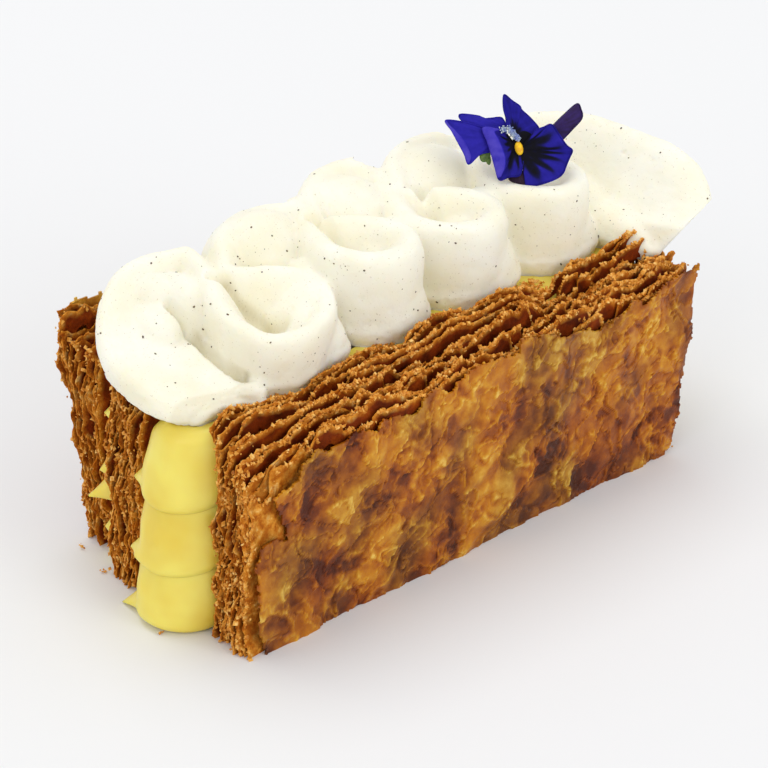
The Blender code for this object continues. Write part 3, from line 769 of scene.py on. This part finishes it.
# The crest of the first fold as (x, y, height), from its back turn round its front and back.
FIRST_FOLD = (
    (25.0, 50.0, 60.0), (23.4, 45.0, 60.0), (21.0, 39.0, 59.6), (17.4, 32.5, 58.8), (15.7, 26.5, 57.8),
    (15.8, 21.2, 57.0), (17.4, 17.2, 56.3), (20.8, 15.2, 56.0), (25.0, 14.6, 56.0), (30.2, 15.9, 56.0),
    (36.2, 19.6, 56.0), (39.6, 24.4, 56.5), (40.6, 28.4, 57.0), (39.8, 31.6, 57.6), (37.0, 34.2, 58.2),
    (33.0, 35.8, 58.8), (29.0, 37.0, 59.4), (25.8, 38.8, 60.2),
)
# The later folds, with x as a share of the fold's width.
FOLD = (
    (0.53, 50.0), (0.38, 45.6), (0.22, 40.0), (0.07, 34.5), (0.0, 29.6), (0.04, 26.0), (0.15, 22.2), (0.33, 19.6),
    (0.51, 18.8), (0.72, 19.8), (0.88, 22.0), (0.99, 25.6), (0.98, 29.4), (0.90, 33.2), (0.74, 36.4), (0.54, 39.0),
    (0.40, 41.4),
)
FOLDS = ((43.9, 18.2, 62.2), (66.8, 19.6, 61.4), (91.6, 19.0, 62.0))  # left side, width and height of each
# The back turn after each fold, on from its last point.
BACK_TURN = ((2.2, 4.6, 1.0), (7.0, 9.4, 1.6), (13.0, 12.4, 2.0), (19.5, 12.8, 2.0), (24.6, 11.0, 2.0))
NOZZLE_SHAPE = (
    (0.0, 1.0), (0.065, 0.985), (0.115, 0.94), (0.165, 0.85), (0.215, 0.68), (0.26, 0.47), (0.31, 0.28), (0.365, 0.14),
    (0.42, 0.09), (0.435, 0.03), (0.40, -0.05), (0.30, -0.30),
)
CREAM_VOXEL = 0.55
FOOT_ROLL = 45.8  # height of the rolled edge along the cream's foot
TORN_LINE_Y = 19.5  # the first petal's torn end lies in front of this
# Cream that the turns pushed together: the middle, the three radii and the tilt of each lump.
FILLINGS = (
    (17.8, 42.0, 50.5, 5.5, 9.5, 8.6, 0), (40.5, 46.5, 51.5, 12.5, 10.5, 12.2, 0), (63.5, 47.5, 51.5, 13.5, 11.0, 12.6, 0),
    (88.5, 47.0, 51.5, 13.5, 11.0, 12.6, 0), (109.0, 45.0, 51.0, 10.0, 10.0, 10.6, 0),
    (33.5, 29.0, 50.5, 10.0, 9.5, 3.6, -36), (55.0, 30.5, 52.8, 9.0, 9.5, 3.8, -38),
    (79.0, 30.5, 52.2, 9.5, 9.5, 3.8, -36), (103.5, 30.5, 54.2, 9.5, 9.5, 4.0, -32),
    (88.8, 31.0, 52.0, 4.5, 7.0, 8.6, 0), (64.4, 32.0, 52.0, 4.0, 7.0, 8.8, 0), (41.8, 33.0, 50.0, 4.0, 7.0, 8.0, 0),
    (34.8, 22.9, 44.0, 6.8, 7.2, 10.5, 0), (54.6, 23.2, 44.0, 9.4, 7.8, 13.0, 0),
    (14.8, 45.6, 53.2, 4.6, 5.6, 5.6, 0), (14.0, 17.0, 45.0, 2.7, 2.3, 2.4, 0), (10.6, 41.6, 50.0, 5.6, 6.6, 5.2, 0),
    (81.0, 24.2, 44.0, 10.2, 7.6, 13.0, 0), (105.4, 24.4, 44.0, 9.4, 7.6, 13.0, 0),
    (119.0, 22.0, 44.0, 5.6, 15.0, 7.5, 0), (118.5, 34.0, 46.0, 6.0, 12.0, 9.0, 0),
)
# Creases where one turn lies against the next: how deep and how wide, and the line of each.
CREASES = (
    (3.6, 1.2, ((12.9, 40.4, 54.4), (13.2, 37.6, 52.6), (13.7, 35.2, 50.8), (13.8, 32.4, 49.5), (13.4, 28.4, 48.8),
                (13.6, 23.0, 48.2), (14.4, 19.6, 47.6))),
    (3.0, 2.2, ((22.1, 38.0, 59.5), (23.8, 36.6, 58.0), (24.6, 34.3, 54.9), (26.4, 31.5, 52.6), (27.6, 28.6, 50.8),
                (29.6, 26.0, 51.6))),
    (4.0, 2.8, ((51.0, 41.0, 61.0), (50.8, 38.0, 59.0), (50.0, 32.3, 57.0), (53.0, 28.4, 57.0))),
    (3.5, 2.8, ((79.0, 40.0, 61.0), (76.5, 34.0, 57.0), (74.3, 29.0, 57.0), (78.0, 26.0, 57.0))),
)


def spline(points, steps):
    """A smooth path through the points, with a few steps from each to the next."""
    path = []
    ends = [points[0]] + list(points) + [points[-1]]
    for before, start, end, after in zip(ends, ends[1:], ends[2:], ends[3:]):
        for i in range(steps):
            t = i / steps
            turn = (end - before) * 0.5 * (t**3 - 2 * t**2 + t) + (after - start) * 0.5 * (t**3 - t**2)
            path.append(start * (2 * t**3 - 3 * t**2 + 1) + end * (3 * t**2 - 2 * t**3) + turn)
    return path + [points[-1]]


def folded_crest():
    """The crest of the four folds: each point is x, y, height and how far inside it its foot is."""
    folds = [[Vector((*point, LOOSE_FOOT)) for point in FIRST_FOLD]]
    for left, width, height in FOLDS:
        folds.append([Vector((left + share * width, y, height, LOOSE_FOOT)) for share, y in FOLD])
    crest = []
    for index, fold in enumerate(folds):
        crest += fold
        turn = BACK_TURN if index + 1 < len(folds) else BACK_TURN[:2]
        crest += [fold[-1] + Vector((x, y, z, 0.0)) for x, y, z in turn]
        for point in crest[-len(turn):]:
            point.w = -LOOSE_FOOT * 0.8
        fold[0].w = fold[-1].w = 0.0
        fold[1].w = fold[-2].w = LOOSE_FOOT * 0.6
    return spline(crest, FOLD_STEPS)


def free_stroke(start, end, leave, arrive, fullness):
    """Points of a smooth stroke that leaves and arrives in the headings given, in degrees."""
    reach = (end - start).length * fullness
    out = Vector((math.cos(math.radians(leave)), math.sin(math.radians(leave)))) * reach
    into = Vector((math.cos(math.radians(arrive)), math.sin(math.radians(arrive)))) * reach
    points = []
    for i in range(STROKE_STEPS + 1):
        t = i / STROKE_STEPS
        point = start * (2 * t**3 - 3 * t**2 + 1) + out * (t**3 - 2 * t**2 + t)
        points.append(point + end * (3 * t**2 - 2 * t**3) + into * (t**3 - t**2))
    return points


def ribbon_stations():
    """(place, lean, height) all along the ribbon; a lean above 0 is to the left of the way gone."""
    stations = []
    first = free_stroke(STROKE_START, FIRST_TURN, 92, 10, 0.85)[:-1]
    for i, point in enumerate(first):
        t = i / len(first)
        lean = blend(FIRST_PETAL_LEAN, TURN_LEAN, smooth_step((t - 0.52) / 0.48))
        height = FIRST_PETAL_HEIGHT * blend(0.72, 1.0, smooth_step(t * 3))
        height = blend(height, RIBBON_HEIGHT * 0.88, smooth_step((t - 0.3) / 0.7))
        where = point.to_3d()
        where.z = -FIRST_PETAL_SINK * (1 - smooth_step(t / 0.85))
        stations.append((where, lean, height))
    crest = folded_crest()
    for before, point, after in zip([crest[0]] + crest, crest, crest[1:] + [crest[-1]]):
        ahead = (after - before).xy.normalized()
        foot = point.xy + Vector((-ahead.y, ahead.x)) * point.w
        height = math.hypot(point.z - CREAM_BASE, point.w)
        stations.append((foot.to_3d(), -math.atan2(point.w, point.z - CREAM_BASE), height))
    last = free_stroke(LAST_TURN, STROKE_END, -40, -96, 0.55)
    for i, point in enumerate(last):
        t = i / (len(last) - 1)
        tail = max(0.0, (t - 0.5) / 0.5)
        lean = blend(TURN_LEAN, LAST_PETAL_LEAN, smooth_step((t - 0.05) / 0.45)) + LAST_PETAL_DROOP * tail**2
        where = point.to_3d()
        where.z = LAST_PETAL_LIFT * tail**2
        height = blend(RIBBON_HEIGHT, LAST_PETAL_HEIGHT, smooth_step(t * 3)) * (1 - 0.60 * tail**2.6)
        stations.append((where, lean, height))
    return stations


def curve_object(name, dimensions, points, closed):
    """A curve of straight steps through the points."""
    curve = bpy.data.curves.new(name, "CURVE")
    curve.dimensions = dimensions
    spline = curve.splines.new("POLY")
    spline.points.add(len(points) - 1)
    for handle, point in zip(spline.points, points):
        handle.co = (*point, 1.0)
    spline.use_cyclic_u = closed
    thing = bpy.data.objects.new(name, curve)
    scene.collection.objects.link(thing)
    return thing


def cream_ribbon():
    """The section swept along the path, fused, smoothed and cut flat at its foot."""
    half = list(NOZZLE_SHAPE)
    outline = half + [(-across, up) for across, up in reversed(half[1:])]
    nozzle = curve_object("nozzle", "2D", [(across, up, 0.0) for across, up in outline], True)
    stations = ribbon_stations()
    path = curve_object("cream_path", "3D", [place(p.x, p.y, CREAM_BASE + p.z) for p, _, _ in stations], False)
    path.data.twist_mode = "Z_UP"
    path.data.bevel_mode = "OBJECT"
    path.data.bevel_object = nozzle
    path.data.use_fill_caps = True
    for handle, (_, lean, height) in zip(path.data.splines[0].points, stations):
        handle.tilt = -lean
        handle.radius = height * MM
    deselect_all()
    path.select_set(True)
    bpy.context.view_layer.objects.active = path
    bpy.ops.object.convert(target="MESH")
    ribbon = bpy.context.object
    bpy.data.objects.remove(nozzle, do_unlink=True)
    lumps = []
    for x, y, z, *radii, tilt in FILLINGS:
        bpy.ops.mesh.primitive_ico_sphere_add(
            subdivisions=3, radius=MM, location=place(x, y, z), rotation=(0, math.radians(tilt), 0), scale=radii
        )
        lumps.append(bpy.context.object)
    piece = join_pieces("cream_ribbon", [ribbon] + lumps)
    bpy.ops.object.mode_set(mode="EDIT")
    bpy.ops.mesh.select_all(action="SELECT")
    bpy.ops.mesh.remove_doubles(threshold=0.01 * MM)
    bpy.ops.mesh.normals_make_consistent(inside=False)
    bpy.ops.object.mode_set(mode="OBJECT")
    fuse = piece.modifiers.new("fuse", "REMESH")
    fuse.mode = "VOXEL"
    fuse.voxel_size = CREAM_VOXEL * MM
    bpy.ops.object.modifier_apply(modifier=fuse.name)
    ease = piece.modifiers.new("ease", "SMOOTH")
    ease.factor = 0.5
    ease.iterations = 10
    bpy.ops.object.modifier_apply(modifier=ease.name)
    bm = bmesh.new()
    bm.from_mesh(piece.data)
    foot = place(0, 0, CREAM_BASE - 1.0)
    everything = bm.verts[:] + bm.edges[:] + bm.faces[:]
    cut = bmesh.ops.bisect_plane(
        bm, geom=everything, dist=1e-7, plane_co=foot, plane_no=(0, 0, 1), clear_inner=True
    )
    bmesh.ops.holes_fill(bm, edges=[e for e in cut["geom_cut"] if isinstance(e, bmesh.types.BMEdge)], sides=0)
    everything = bm.verts[:] + bm.edges[:] + bm.faces[:]
    cut = bmesh.ops.bisect_plane(
        bm, geom=everything, dist=1e-7, plane_co=place(*LAST_PETAL_TIP), plane_no=LAST_PETAL_CUT, clear_inner=True
    )
    bmesh.ops.holes_fill(bm, edges=[e for e in cut["geom_cut"] if isinstance(e, bmesh.types.BMEdge)], sides=0)
    bmesh.ops.recalc_face_normals(bm, faces=bm.faces)
    bm.to_mesh(piece.data)
    bm.free()
    return piece


def whip(piece):
    """Lumps, a crease, a rolled foot and small burst bubbles in the cream's surface, and a shade mark: painted shade
    along the creases and on the first petal's torn end.
    """
    creases = [(depth, reach, spline([Vector(p) for p in line], 4 * FOLD_STEPS)) for depth, reach, line in CREASES]
    normals = [v.normal.copy() for v in piece.data.vertices]
    picks = random.Random(7)
    shades = []
    bubbles = [piece.data.vertices[picks.randrange(len(normals))].co.copy() for _ in range(46)]
    sizes = [picks.uniform(0.35, 0.8) * MM for _ in bubbles]
    for vert, normal in zip(piece.data.vertices, normals):
        x, y, z = (vert.co - START) / MM
        low = 1 - smooth_step((z - CREAM_BASE) / 7)
        push = 0.16 * ripple(x / 4, y / 4, z / 3, 101) + (0.06 + 0.24 * low) * ripple(x / 1.3, y / 1.3, z / 0.9, 102)
        push += 0.5 * math.exp(-((z - FOOT_ROLL) / 1.2) ** 2) - 0.5 * (1 - smooth_step((z - FOOT_ROLL + 2.4) / 1.4))
        drop = shade = 0.0
        for depth, reach, line in creases:
            if abs(x - line[0].x) < 12 and 16 < y < 45:
                near = min(math.hypot(x - c.x, y - c.y, 0.3 * (z - c.z)) for c in line)
                drop += depth * (1 - smooth_step(near / reach))
                # The shade mark is painted shade: a thin band just beside each crease line, where the crease's hollow
                # lies dark.
                beside = min(math.hypot(x - 1.0 - c.x, y - c.y, 0.6 * (z - c.z)) for c in line)
                shade = max(shade, 1 - beside / 0.8)
        for centre, size in zip(bubbles, sizes):
            gap = (vert.co - centre).length / size
            if gap < 1:
                push -= 0.5 * size / MM * (1 - gap * gap)
        # The first petal's torn end, in front of TORN_LINE_Y, gets a light painted shade, as a face that turns front
        # and down.
        roughness_and_torn_shade = smooth_step((TORN_LINE_Y - y) / 1.2) * (1 - smooth_step((x - 13) / 3)) * 0.3
        shades.append(max(shade, roughness_and_torn_shade))
        torn = 0.5 * max(0.0, TORN_LINE_Y - y) * (1 - smooth_step((x - 11) / 4))
        drop *= smooth_step(normal.z / 0.5)
        vert.co += (normal * push - Vector((0, 0, drop)) + Vector((0, torn, 0))) * MM
    piece.data.attributes.new("shade", "FLOAT", "POINT").data.foreach_set("value", shades)
    piece.data.polygons.foreach_set("use_smooth", [True] * len(piece.data.polygons))


cream_material, tree, shader = new_material("whipped cream")
cream_colour = colour_ramp(tree, object_noise(tree, 60, detail=3), (
    (0.35, srgb(244, 239, 216)), (0.65, srgb(250, 246, 232)),
))
speckle = colour_ramp(tree, object_noise(tree, 2300, detail=1), (
    (0.70, (1, 1, 1)), (0.74, (0.55, 0.48, 0.38)),
))
plain_cream = mix_colour(tree, 0.5, cream_colour, speckle, "MULTIPLY")
# Painted shade: the shade mark tints the crease lines and the first petal's torn end a dull olive.
painted_shade_share = math_node(tree, "MULTIPLY", attribute_value(tree, "shade"), 0.5)
tree.links.new(mix_colour(tree, painted_shade_share, plain_cream, (*srgb(176, 160, 104), 1.0)), shader.inputs["Base Color"])
shader.inputs["Roughness"].default_value = 0.55
shader.inputs["Specular IOR Level"].default_value = 0.3
shader.inputs["Subsurface Weight"].default_value = 0.5
shader.inputs["Subsurface Radius"].default_value = (1.0, 0.85, 0.6)
shader.inputs["Subsurface Scale"].default_value = 3.0 * MM
bump(tree, shader, object_noise(tree, 600, detail=6, roughness_and_torn_shade=0.65), 0.16 * MM)

cream = cream_ribbon()
whip(cream)
cream.data.materials.append(cream_material)
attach(cream, "root")
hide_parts("cream_wave")

# ------------------------------------------------------------------ vanilla seeds
# Ground vanilla pod in the cream: dark brown grains a few tenths of a millimetre across,
# a few of them longer. Each is a small ball pressed flat into the cream's surface.


def vanilla_seeds(count):
    picks = random.Random(11)
    seeds = []
    while len(seeds) < count:
        face = cream.data.polygons[picks.randrange(len(cream.data.polygons))]
        if face.center.z < place(0, 0, CREAM_BASE).z:
            continue
        turn = face.normal.to_track_quat("Z", "Y").to_matrix() @ Matrix.Rotation(picks.uniform(0, 6.28), 3, "Z")
        size = picks.choice((0.12, 0.14, 0.17, 0.2, 0.26, 0.34, 0.46)) * MM
        seeds.append((face.center, turn, (size * picks.uniform(1.0, 1.7), size, size * 0.5)))
    return seeds


seed_material, tree, shader = new_material("vanilla seed")
shader.inputs["Base Color"].default_value = (*srgb(88, 68, 44), 1.0)
shader.inputs["Roughness"].default_value = 0.6
seeds = scatter("vanilla_seeds", vanilla_seeds(460))
seeds.data.materials.append(seed_material)
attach(seeds, "root")

# ------------------------------------------------------------------ viola
# A fresh edible viola pushed by its stalk into the cream's last hollow. Its thin velvety
# petals have crumpled: two are folded over at the rim and one is rolled up. Dark veins run
# out from the yellow eye, a white beard stands over it and green sepals show behind.

FLOWER_CENTRE = place(96.7, 29.0, 67.9)
FLOWER_FACING = Euler((math.radians(55), 0, math.radians(-44))).to_matrix()
PETAL_ROWS = 36  # cells from a petal's root to its rim
RIM_STEPS = 6  # cells from one point of its edge to the next
FOLD_SHARE = 0.75  # share of the rows that lie before the fold


class Petal:
    """One petal, in millimetres in the flower's frame: X to the right, Y up, Z out of its face.

    It fans out from its root to the points of its edge and bulges by cup; turned gives where
    its edge's points are folded over to. Root and edge tone are its tones from 0, black, to 1,
    pale violet; veins is how far the dark veins run out, and faded how brown it is."""

    def __init__(self, root, edge, cup, root_tone, edge_tone, veins=0.0, turned=None, faded=0.0):
        self.root, self.edge, self.cup = Vector(root), spline([Vector(p) for p in edge], RIM_STEPS), cup
        self.root_tone, self.edge_tone, self.veins, self.faded = root_tone, edge_tone, veins, faded
        folded = [Vector(point) - Vector((0, 0, 0.3)) for point in edge]
        for index, point in (turned or {}).items():
            folded[index] = Vector(point)
        self.turned = spline(folded, RIM_STEPS)


PETALS = {
    "lip": Petal(
        (0.2, -0.1, -0.3),
        ((3.3, 4.2, -0.2), (5.0, 4.9, -0.5), (6.7, 5.6, -1.0), (8.3, 3.4, -0.2), (9.8, 1.2, 0.2), (11.1, 0.2, -0.3),
         (10.7, -1.1, -0.8), (10.1, -2.6, -0.6), (9.2, -4.9, 0.1), (7.3, -6.3, 0.4), (4.1, -7.4, 0.0), (1.6, -7.6, -0.6)),
        -0.5, 0.0, 0.56, veins=0.80),
    "upper": Petal(
        (-0.9, 3.4, -0.9),
        ((-2.7, 4.6, -0.4), (-2.9, 6.5, -0.2), (-3.5, 8.7, 0.1), (-3.4, 11.4, -0.4), (-1.7, 10.3, -0.6),
         (0.0, 9.2, -0.7), (0.5, 8.4, -1.1), (2.7, 6.5, -1.4), (4.4, 4.2, -1.5), (3.4, 1.6, -1.5)),
        -0.6, 0.12, 0.55, veins=0.3),
    "upper_left": Petal(
        (-2.4, 4.5, -1.2),
        ((-2.8, 5.4, -1.4), (-3.8, 6.7, -1.2), (-6.0, 6.5, -1.3), (-8.1, 6.3, -1.4), (-8.3, 6.9, -1.6),
         (-12.4, 7.0, -1.0), (-11.6, 5.4, -0.6), (-7.8, 4.2, -0.7), (-3.4, 3.8, -0.9)),
        0.3, 0.5, 0.66),
    "left": Petal(
        (-4.2, 2.4, -0.9),
        ((-5.0, 3.6, -0.7), (-7.7, 4.3, -0.3), (-11.6, 5.2, 0.0), (-15.0, 5.1, 0.5), (-13.0, 3.0, 0.2), (-11.3, 1.2, 0.1),
         (-9.9, -1.7, 0.1), (-10.1, -3.5, 0.3), (-8.0, -1.4, -0.2), (-6.0, -0.8, -0.4)),
        0.4, 0.5, 0.66,
        turned={3: (-15.4, 5.3, 0.6), 4: (-14.1, 3.0, 0.9), 5: (-12.8, 0.7, 1.0), 6: (-11.4, -1.7, 0.8), 7: (-10.3, -3.7, 0.4)}),
    "side_low": Petal(
        (-0.7, 0.9, -0.2),
        ((-3.0, 3.9, -0.3), (-5.0, 3.3, 0.6), (-4.1, 1.5, 1.1), (-3.2, -0.6, 1.3), (-2.7, -2.2, 1.4), (-2.8, -4.2, 1.3),
         (-3.7, -6.6, 0.9), (-1.8, -6.0, 0.5), (0.4, -5.4, -0.2), (1.0, -2.4, -0.5)),
        -0.5, 0.05, 0.5, veins=0.75,
        turned={1: (-7.6, 4.2, 0.4), 2: (-6.7, 1.2, 0.7), 3: (-6.1, -0.5, 0.8), 4: (-5.5, -2.4, 0.9), 5: (-4.9, -4.3, 0.9),
                6: (-3.9, -6.8, 0.8)}),
    "rolled": Petal(
        (6.2, 3.9, -1.8),
        ((6.9, 5.5, -2.1), (9.2, 7.9, -1.9), (11.8, 10.2, -1.7), (12.7, 9.0, -1.3), (13.0, 7.2, -1.8), (11.2, 5.0, -2.2),
         (9.0, 2.5, -2.3)),
        1.0, 0.4, 0.4, faded=0.6),
    # This dark brown fan under the eye fills the dark spot below the throat. It is partly a brown sepal and partly
    # painted shade of the throat.
    "sepal": Petal(
        (0.5, -3.6, -1.2),
        ((-1.2, -5.0, -1.0), (-1.9, -6.1, -0.9), (-0.8, -6.9, -0.8), (0.6, -7.4, -0.9), (1.7, -7.4, -1.0), (1.4, -5.4, -1.1)),
        0.3, 0.3, 0.2, faded=1.0),
}


def petal_piece(name, petal, seed):
    """A grid laid out from the petal's root to its edge and on over the fold."""
    deselect_all()
    columns = len(petal.edge) - 1
    bpy.ops.mesh.primitive_grid_add(x_subdivisions=PETAL_ROWS, y_subdivisions=columns, size=1)
    piece = new_piece(f"petal_{name}")
    tones, fades = [], []
    for vert in piece.data.vertices:
        row, column = vert.co.x + 0.5, round((vert.co.y + 0.5) * columns)
        edge, turned = petal.edge[column], petal.turned[column]
        across = column / columns
        along = min(1.0, row / FOLD_SHARE)
        spread = 0.05 + 0.95 * along
        point = petal.root.lerp(edge, spread)
        point.z += petal.cup * math.sin(math.pi * min(spread, 0.9)) * math.sin(math.pi * across) ** 0.5
        point.z += 0.22 * along * ripple(across * 7, along * 2.5, seed * 1.7, 3)
        past = max(0.0, (row - FOLD_SHARE) / (1 - FOLD_SHARE))
        point = point + (turned - edge) * past + Vector((0, 0, 0.3 * math.sin(math.pi * past)))
        vein = 0.5 + 0.5 * math.cos(across * 50 + 2.2 * ripple(across * 6, along * 2, seed, 9))
        dark = smooth_step((petal.veins * (0.55 + 0.45 * vein) - along) / 0.30 + 0.5) if petal.veins else 0.0
        tone = blend(petal.root_tone, petal.edge_tone, smooth_step(along / 0.6)) * (1 - 0.92 * dark)
        tone += 0.07 * ripple(across * 40, along * 5, seed, 4) - 0.08 * vein * (1 - dark) * along
        if past > 0 and (turned - edge).length > 0.5:
            tone = 0.86 + 0.12 * ripple(across * 14, past, seed, 6) - 0.25 * abs(past - 0.5) ** 2
        tones.append(min(1.0, max(0.0, tone)))
        fades.append(petal.faded)
        vert.co = FLOWER_CENTRE + FLOWER_FACING @ point * MM
    for key, values in (("tone", tones), ("faded", fades)):
        piece.data.attributes.new(key, "FLOAT", "POINT").data.foreach_set("value", values)
    shell = piece.modifiers.new("thickness", "SOLIDIFY")
    shell.thickness = 0.22 * MM
    shell.offset = 0.0
    bpy.ops.object.modifier_apply(modifier=shell.name)
    piece.data.polygons.foreach_set("use_smooth", [True] * len(piece.data.polygons))
    return piece


def flower_lump(name, middle, radii, spin):
    """A small ball squashed to three radii, in the flower's frame."""
    deselect_all()
    bpy.ops.mesh.primitive_uv_sphere_add(segments=32, ring_count=20, radius=1)
    piece = new_piece(name)
    turn = Matrix.Rotation(math.radians(spin), 3, "Z")
    for vert in piece.data.vertices:
        lump = turn @ Vector([c * radius for c, radius in zip(vert.co, radii)])
        vert.co = FLOWER_CENTRE + FLOWER_FACING @ (Vector(middle) + lump) * MM
    piece.data.polygons.foreach_set("use_smooth", [True] * len(piece.data.polygons))
    return piece


def beard_hairs(count):
    """Short soft hairs standing out of the flower's throat, over its eye."""
    picks = random.Random(23)
    hairs = []
    for _ in range(count):
        share = picks.random()
        middle = Vector((-2.3, 4.0, 0.3)).lerp(Vector((-0.35, 1.9, 0.5)), share)
        if picks.random() < 0.16:
            middle = Vector((-3.5, 3.9, 0.4))
        spread = 0.6 - 0.25 * share
        middle += Vector((picks.gauss(0.25, 0.5), picks.gauss(0, 0.5), picks.gauss(0.2, 0.3))) * spread
        aim = Euler((picks.uniform(-0.9, 0.9), picks.uniform(-0.9, 0.9), 0)).to_matrix()
        size = (0.32 * MM, 0.32 * MM, picks.uniform(0.4, 0.8) * MM)
        hairs.append((FLOWER_CENTRE + FLOWER_FACING @ middle * MM, FLOWER_FACING @ aim, size))
    return hairs


petal_material, tree, shader = new_material("viola petal")
tone = math_node(
    tree, "ADD", attribute_value(tree, "tone"),
    math_node(tree, "MULTIPLY", math_node(tree, "SUBTRACT", object_noise(tree, 900, detail=4), 0.5), 0.22),
)
petal_colour = colour_ramp(tree, tone, (
    (0.02, srgb(5, 4, 16)), (0.26, srgb(12, 10, 62)), (0.52, srgb(30, 24, 136)), (0.72, srgb(44, 36, 166)),
    (0.95, srgb(84, 72, 188)),
))
faded_colour = colour_ramp(tree, tone, ((0.1, srgb(40, 26, 36)), (0.6, srgb(72, 48, 84))))
tree.links.new(
    mix_colour(tree, attribute_value(tree, "faded"), petal_colour, faded_colour), shader.inputs["Base Color"]
)
shader.inputs["Roughness"].default_value = 0.6
shader.inputs["Specular IOR Level"].default_value = 0.12
petals = join_pieces("viola_petals", [
    petal_piece(name, petal, index) for index, (name, petal) in enumerate(PETALS.items())
] + [flower_lump("throat", (1.0, 2.0, -1.4), (2.3, 2.1, 0.4), 0)])
petals.data.materials.clear()
petals.data.materials.append(petal_material)
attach(petals, "root")
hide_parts("viola")

eye_material, tree, shader = new_material("viola eye")
eye_colour = colour_ramp(tree, object_noise(tree, 900, detail=3), (
    (0.35, srgb(226, 160, 4)), (0.60, srgb(255, 208, 12)),
))
tree.links.new(eye_colour, shader.inputs["Base Color"])
shader.inputs["Roughness"].default_value = 0.5
eye = flower_lump("viola_eye", (0.0, 0.1, 0.2), (0.85, 1.45, 0.75), 14)
eye.data.materials.append(eye_material)
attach(eye, "root")

beard_material, tree, shader = new_material("viola beard")
beard_colour = colour_ramp(tree, object_noise(tree, 700, detail=2), (
    (0.35, srgb(118, 134, 196)), (0.52, srgb(176, 190, 206)), (0.70, srgb(216, 220, 196)),
))
tree.links.new(beard_colour, shader.inputs["Base Color"])
shader.inputs["Roughness"].default_value = 0.8
beard = scatter("viola_beard", beard_hairs(620))
beard.data.materials.append(beard_material)
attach(beard, "root")

calyx_material, tree, shader = new_material("viola calyx")
calyx_colour = colour_ramp(tree, object_noise(tree, 800, detail=3), (
    (0.35, srgb(46, 78, 26)), (0.65, srgb(116, 146, 62)),
))
tree.links.new(calyx_colour, shader.inputs["Base Color"])
shader.inputs["Roughness"].default_value = 0.5
calyx = join_pieces("viola_calyx", [
    flower_lump("sepal", (-6.9, -1.4, -1.0), (1.1, 1.5, 0.35), -20),
    flower_lump("sepal", (-6.3, -1.9, -1.2), (0.6, 1.5, 0.30), 12),
])
calyx.data.materials.append(calyx_material)
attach(calyx, "root")
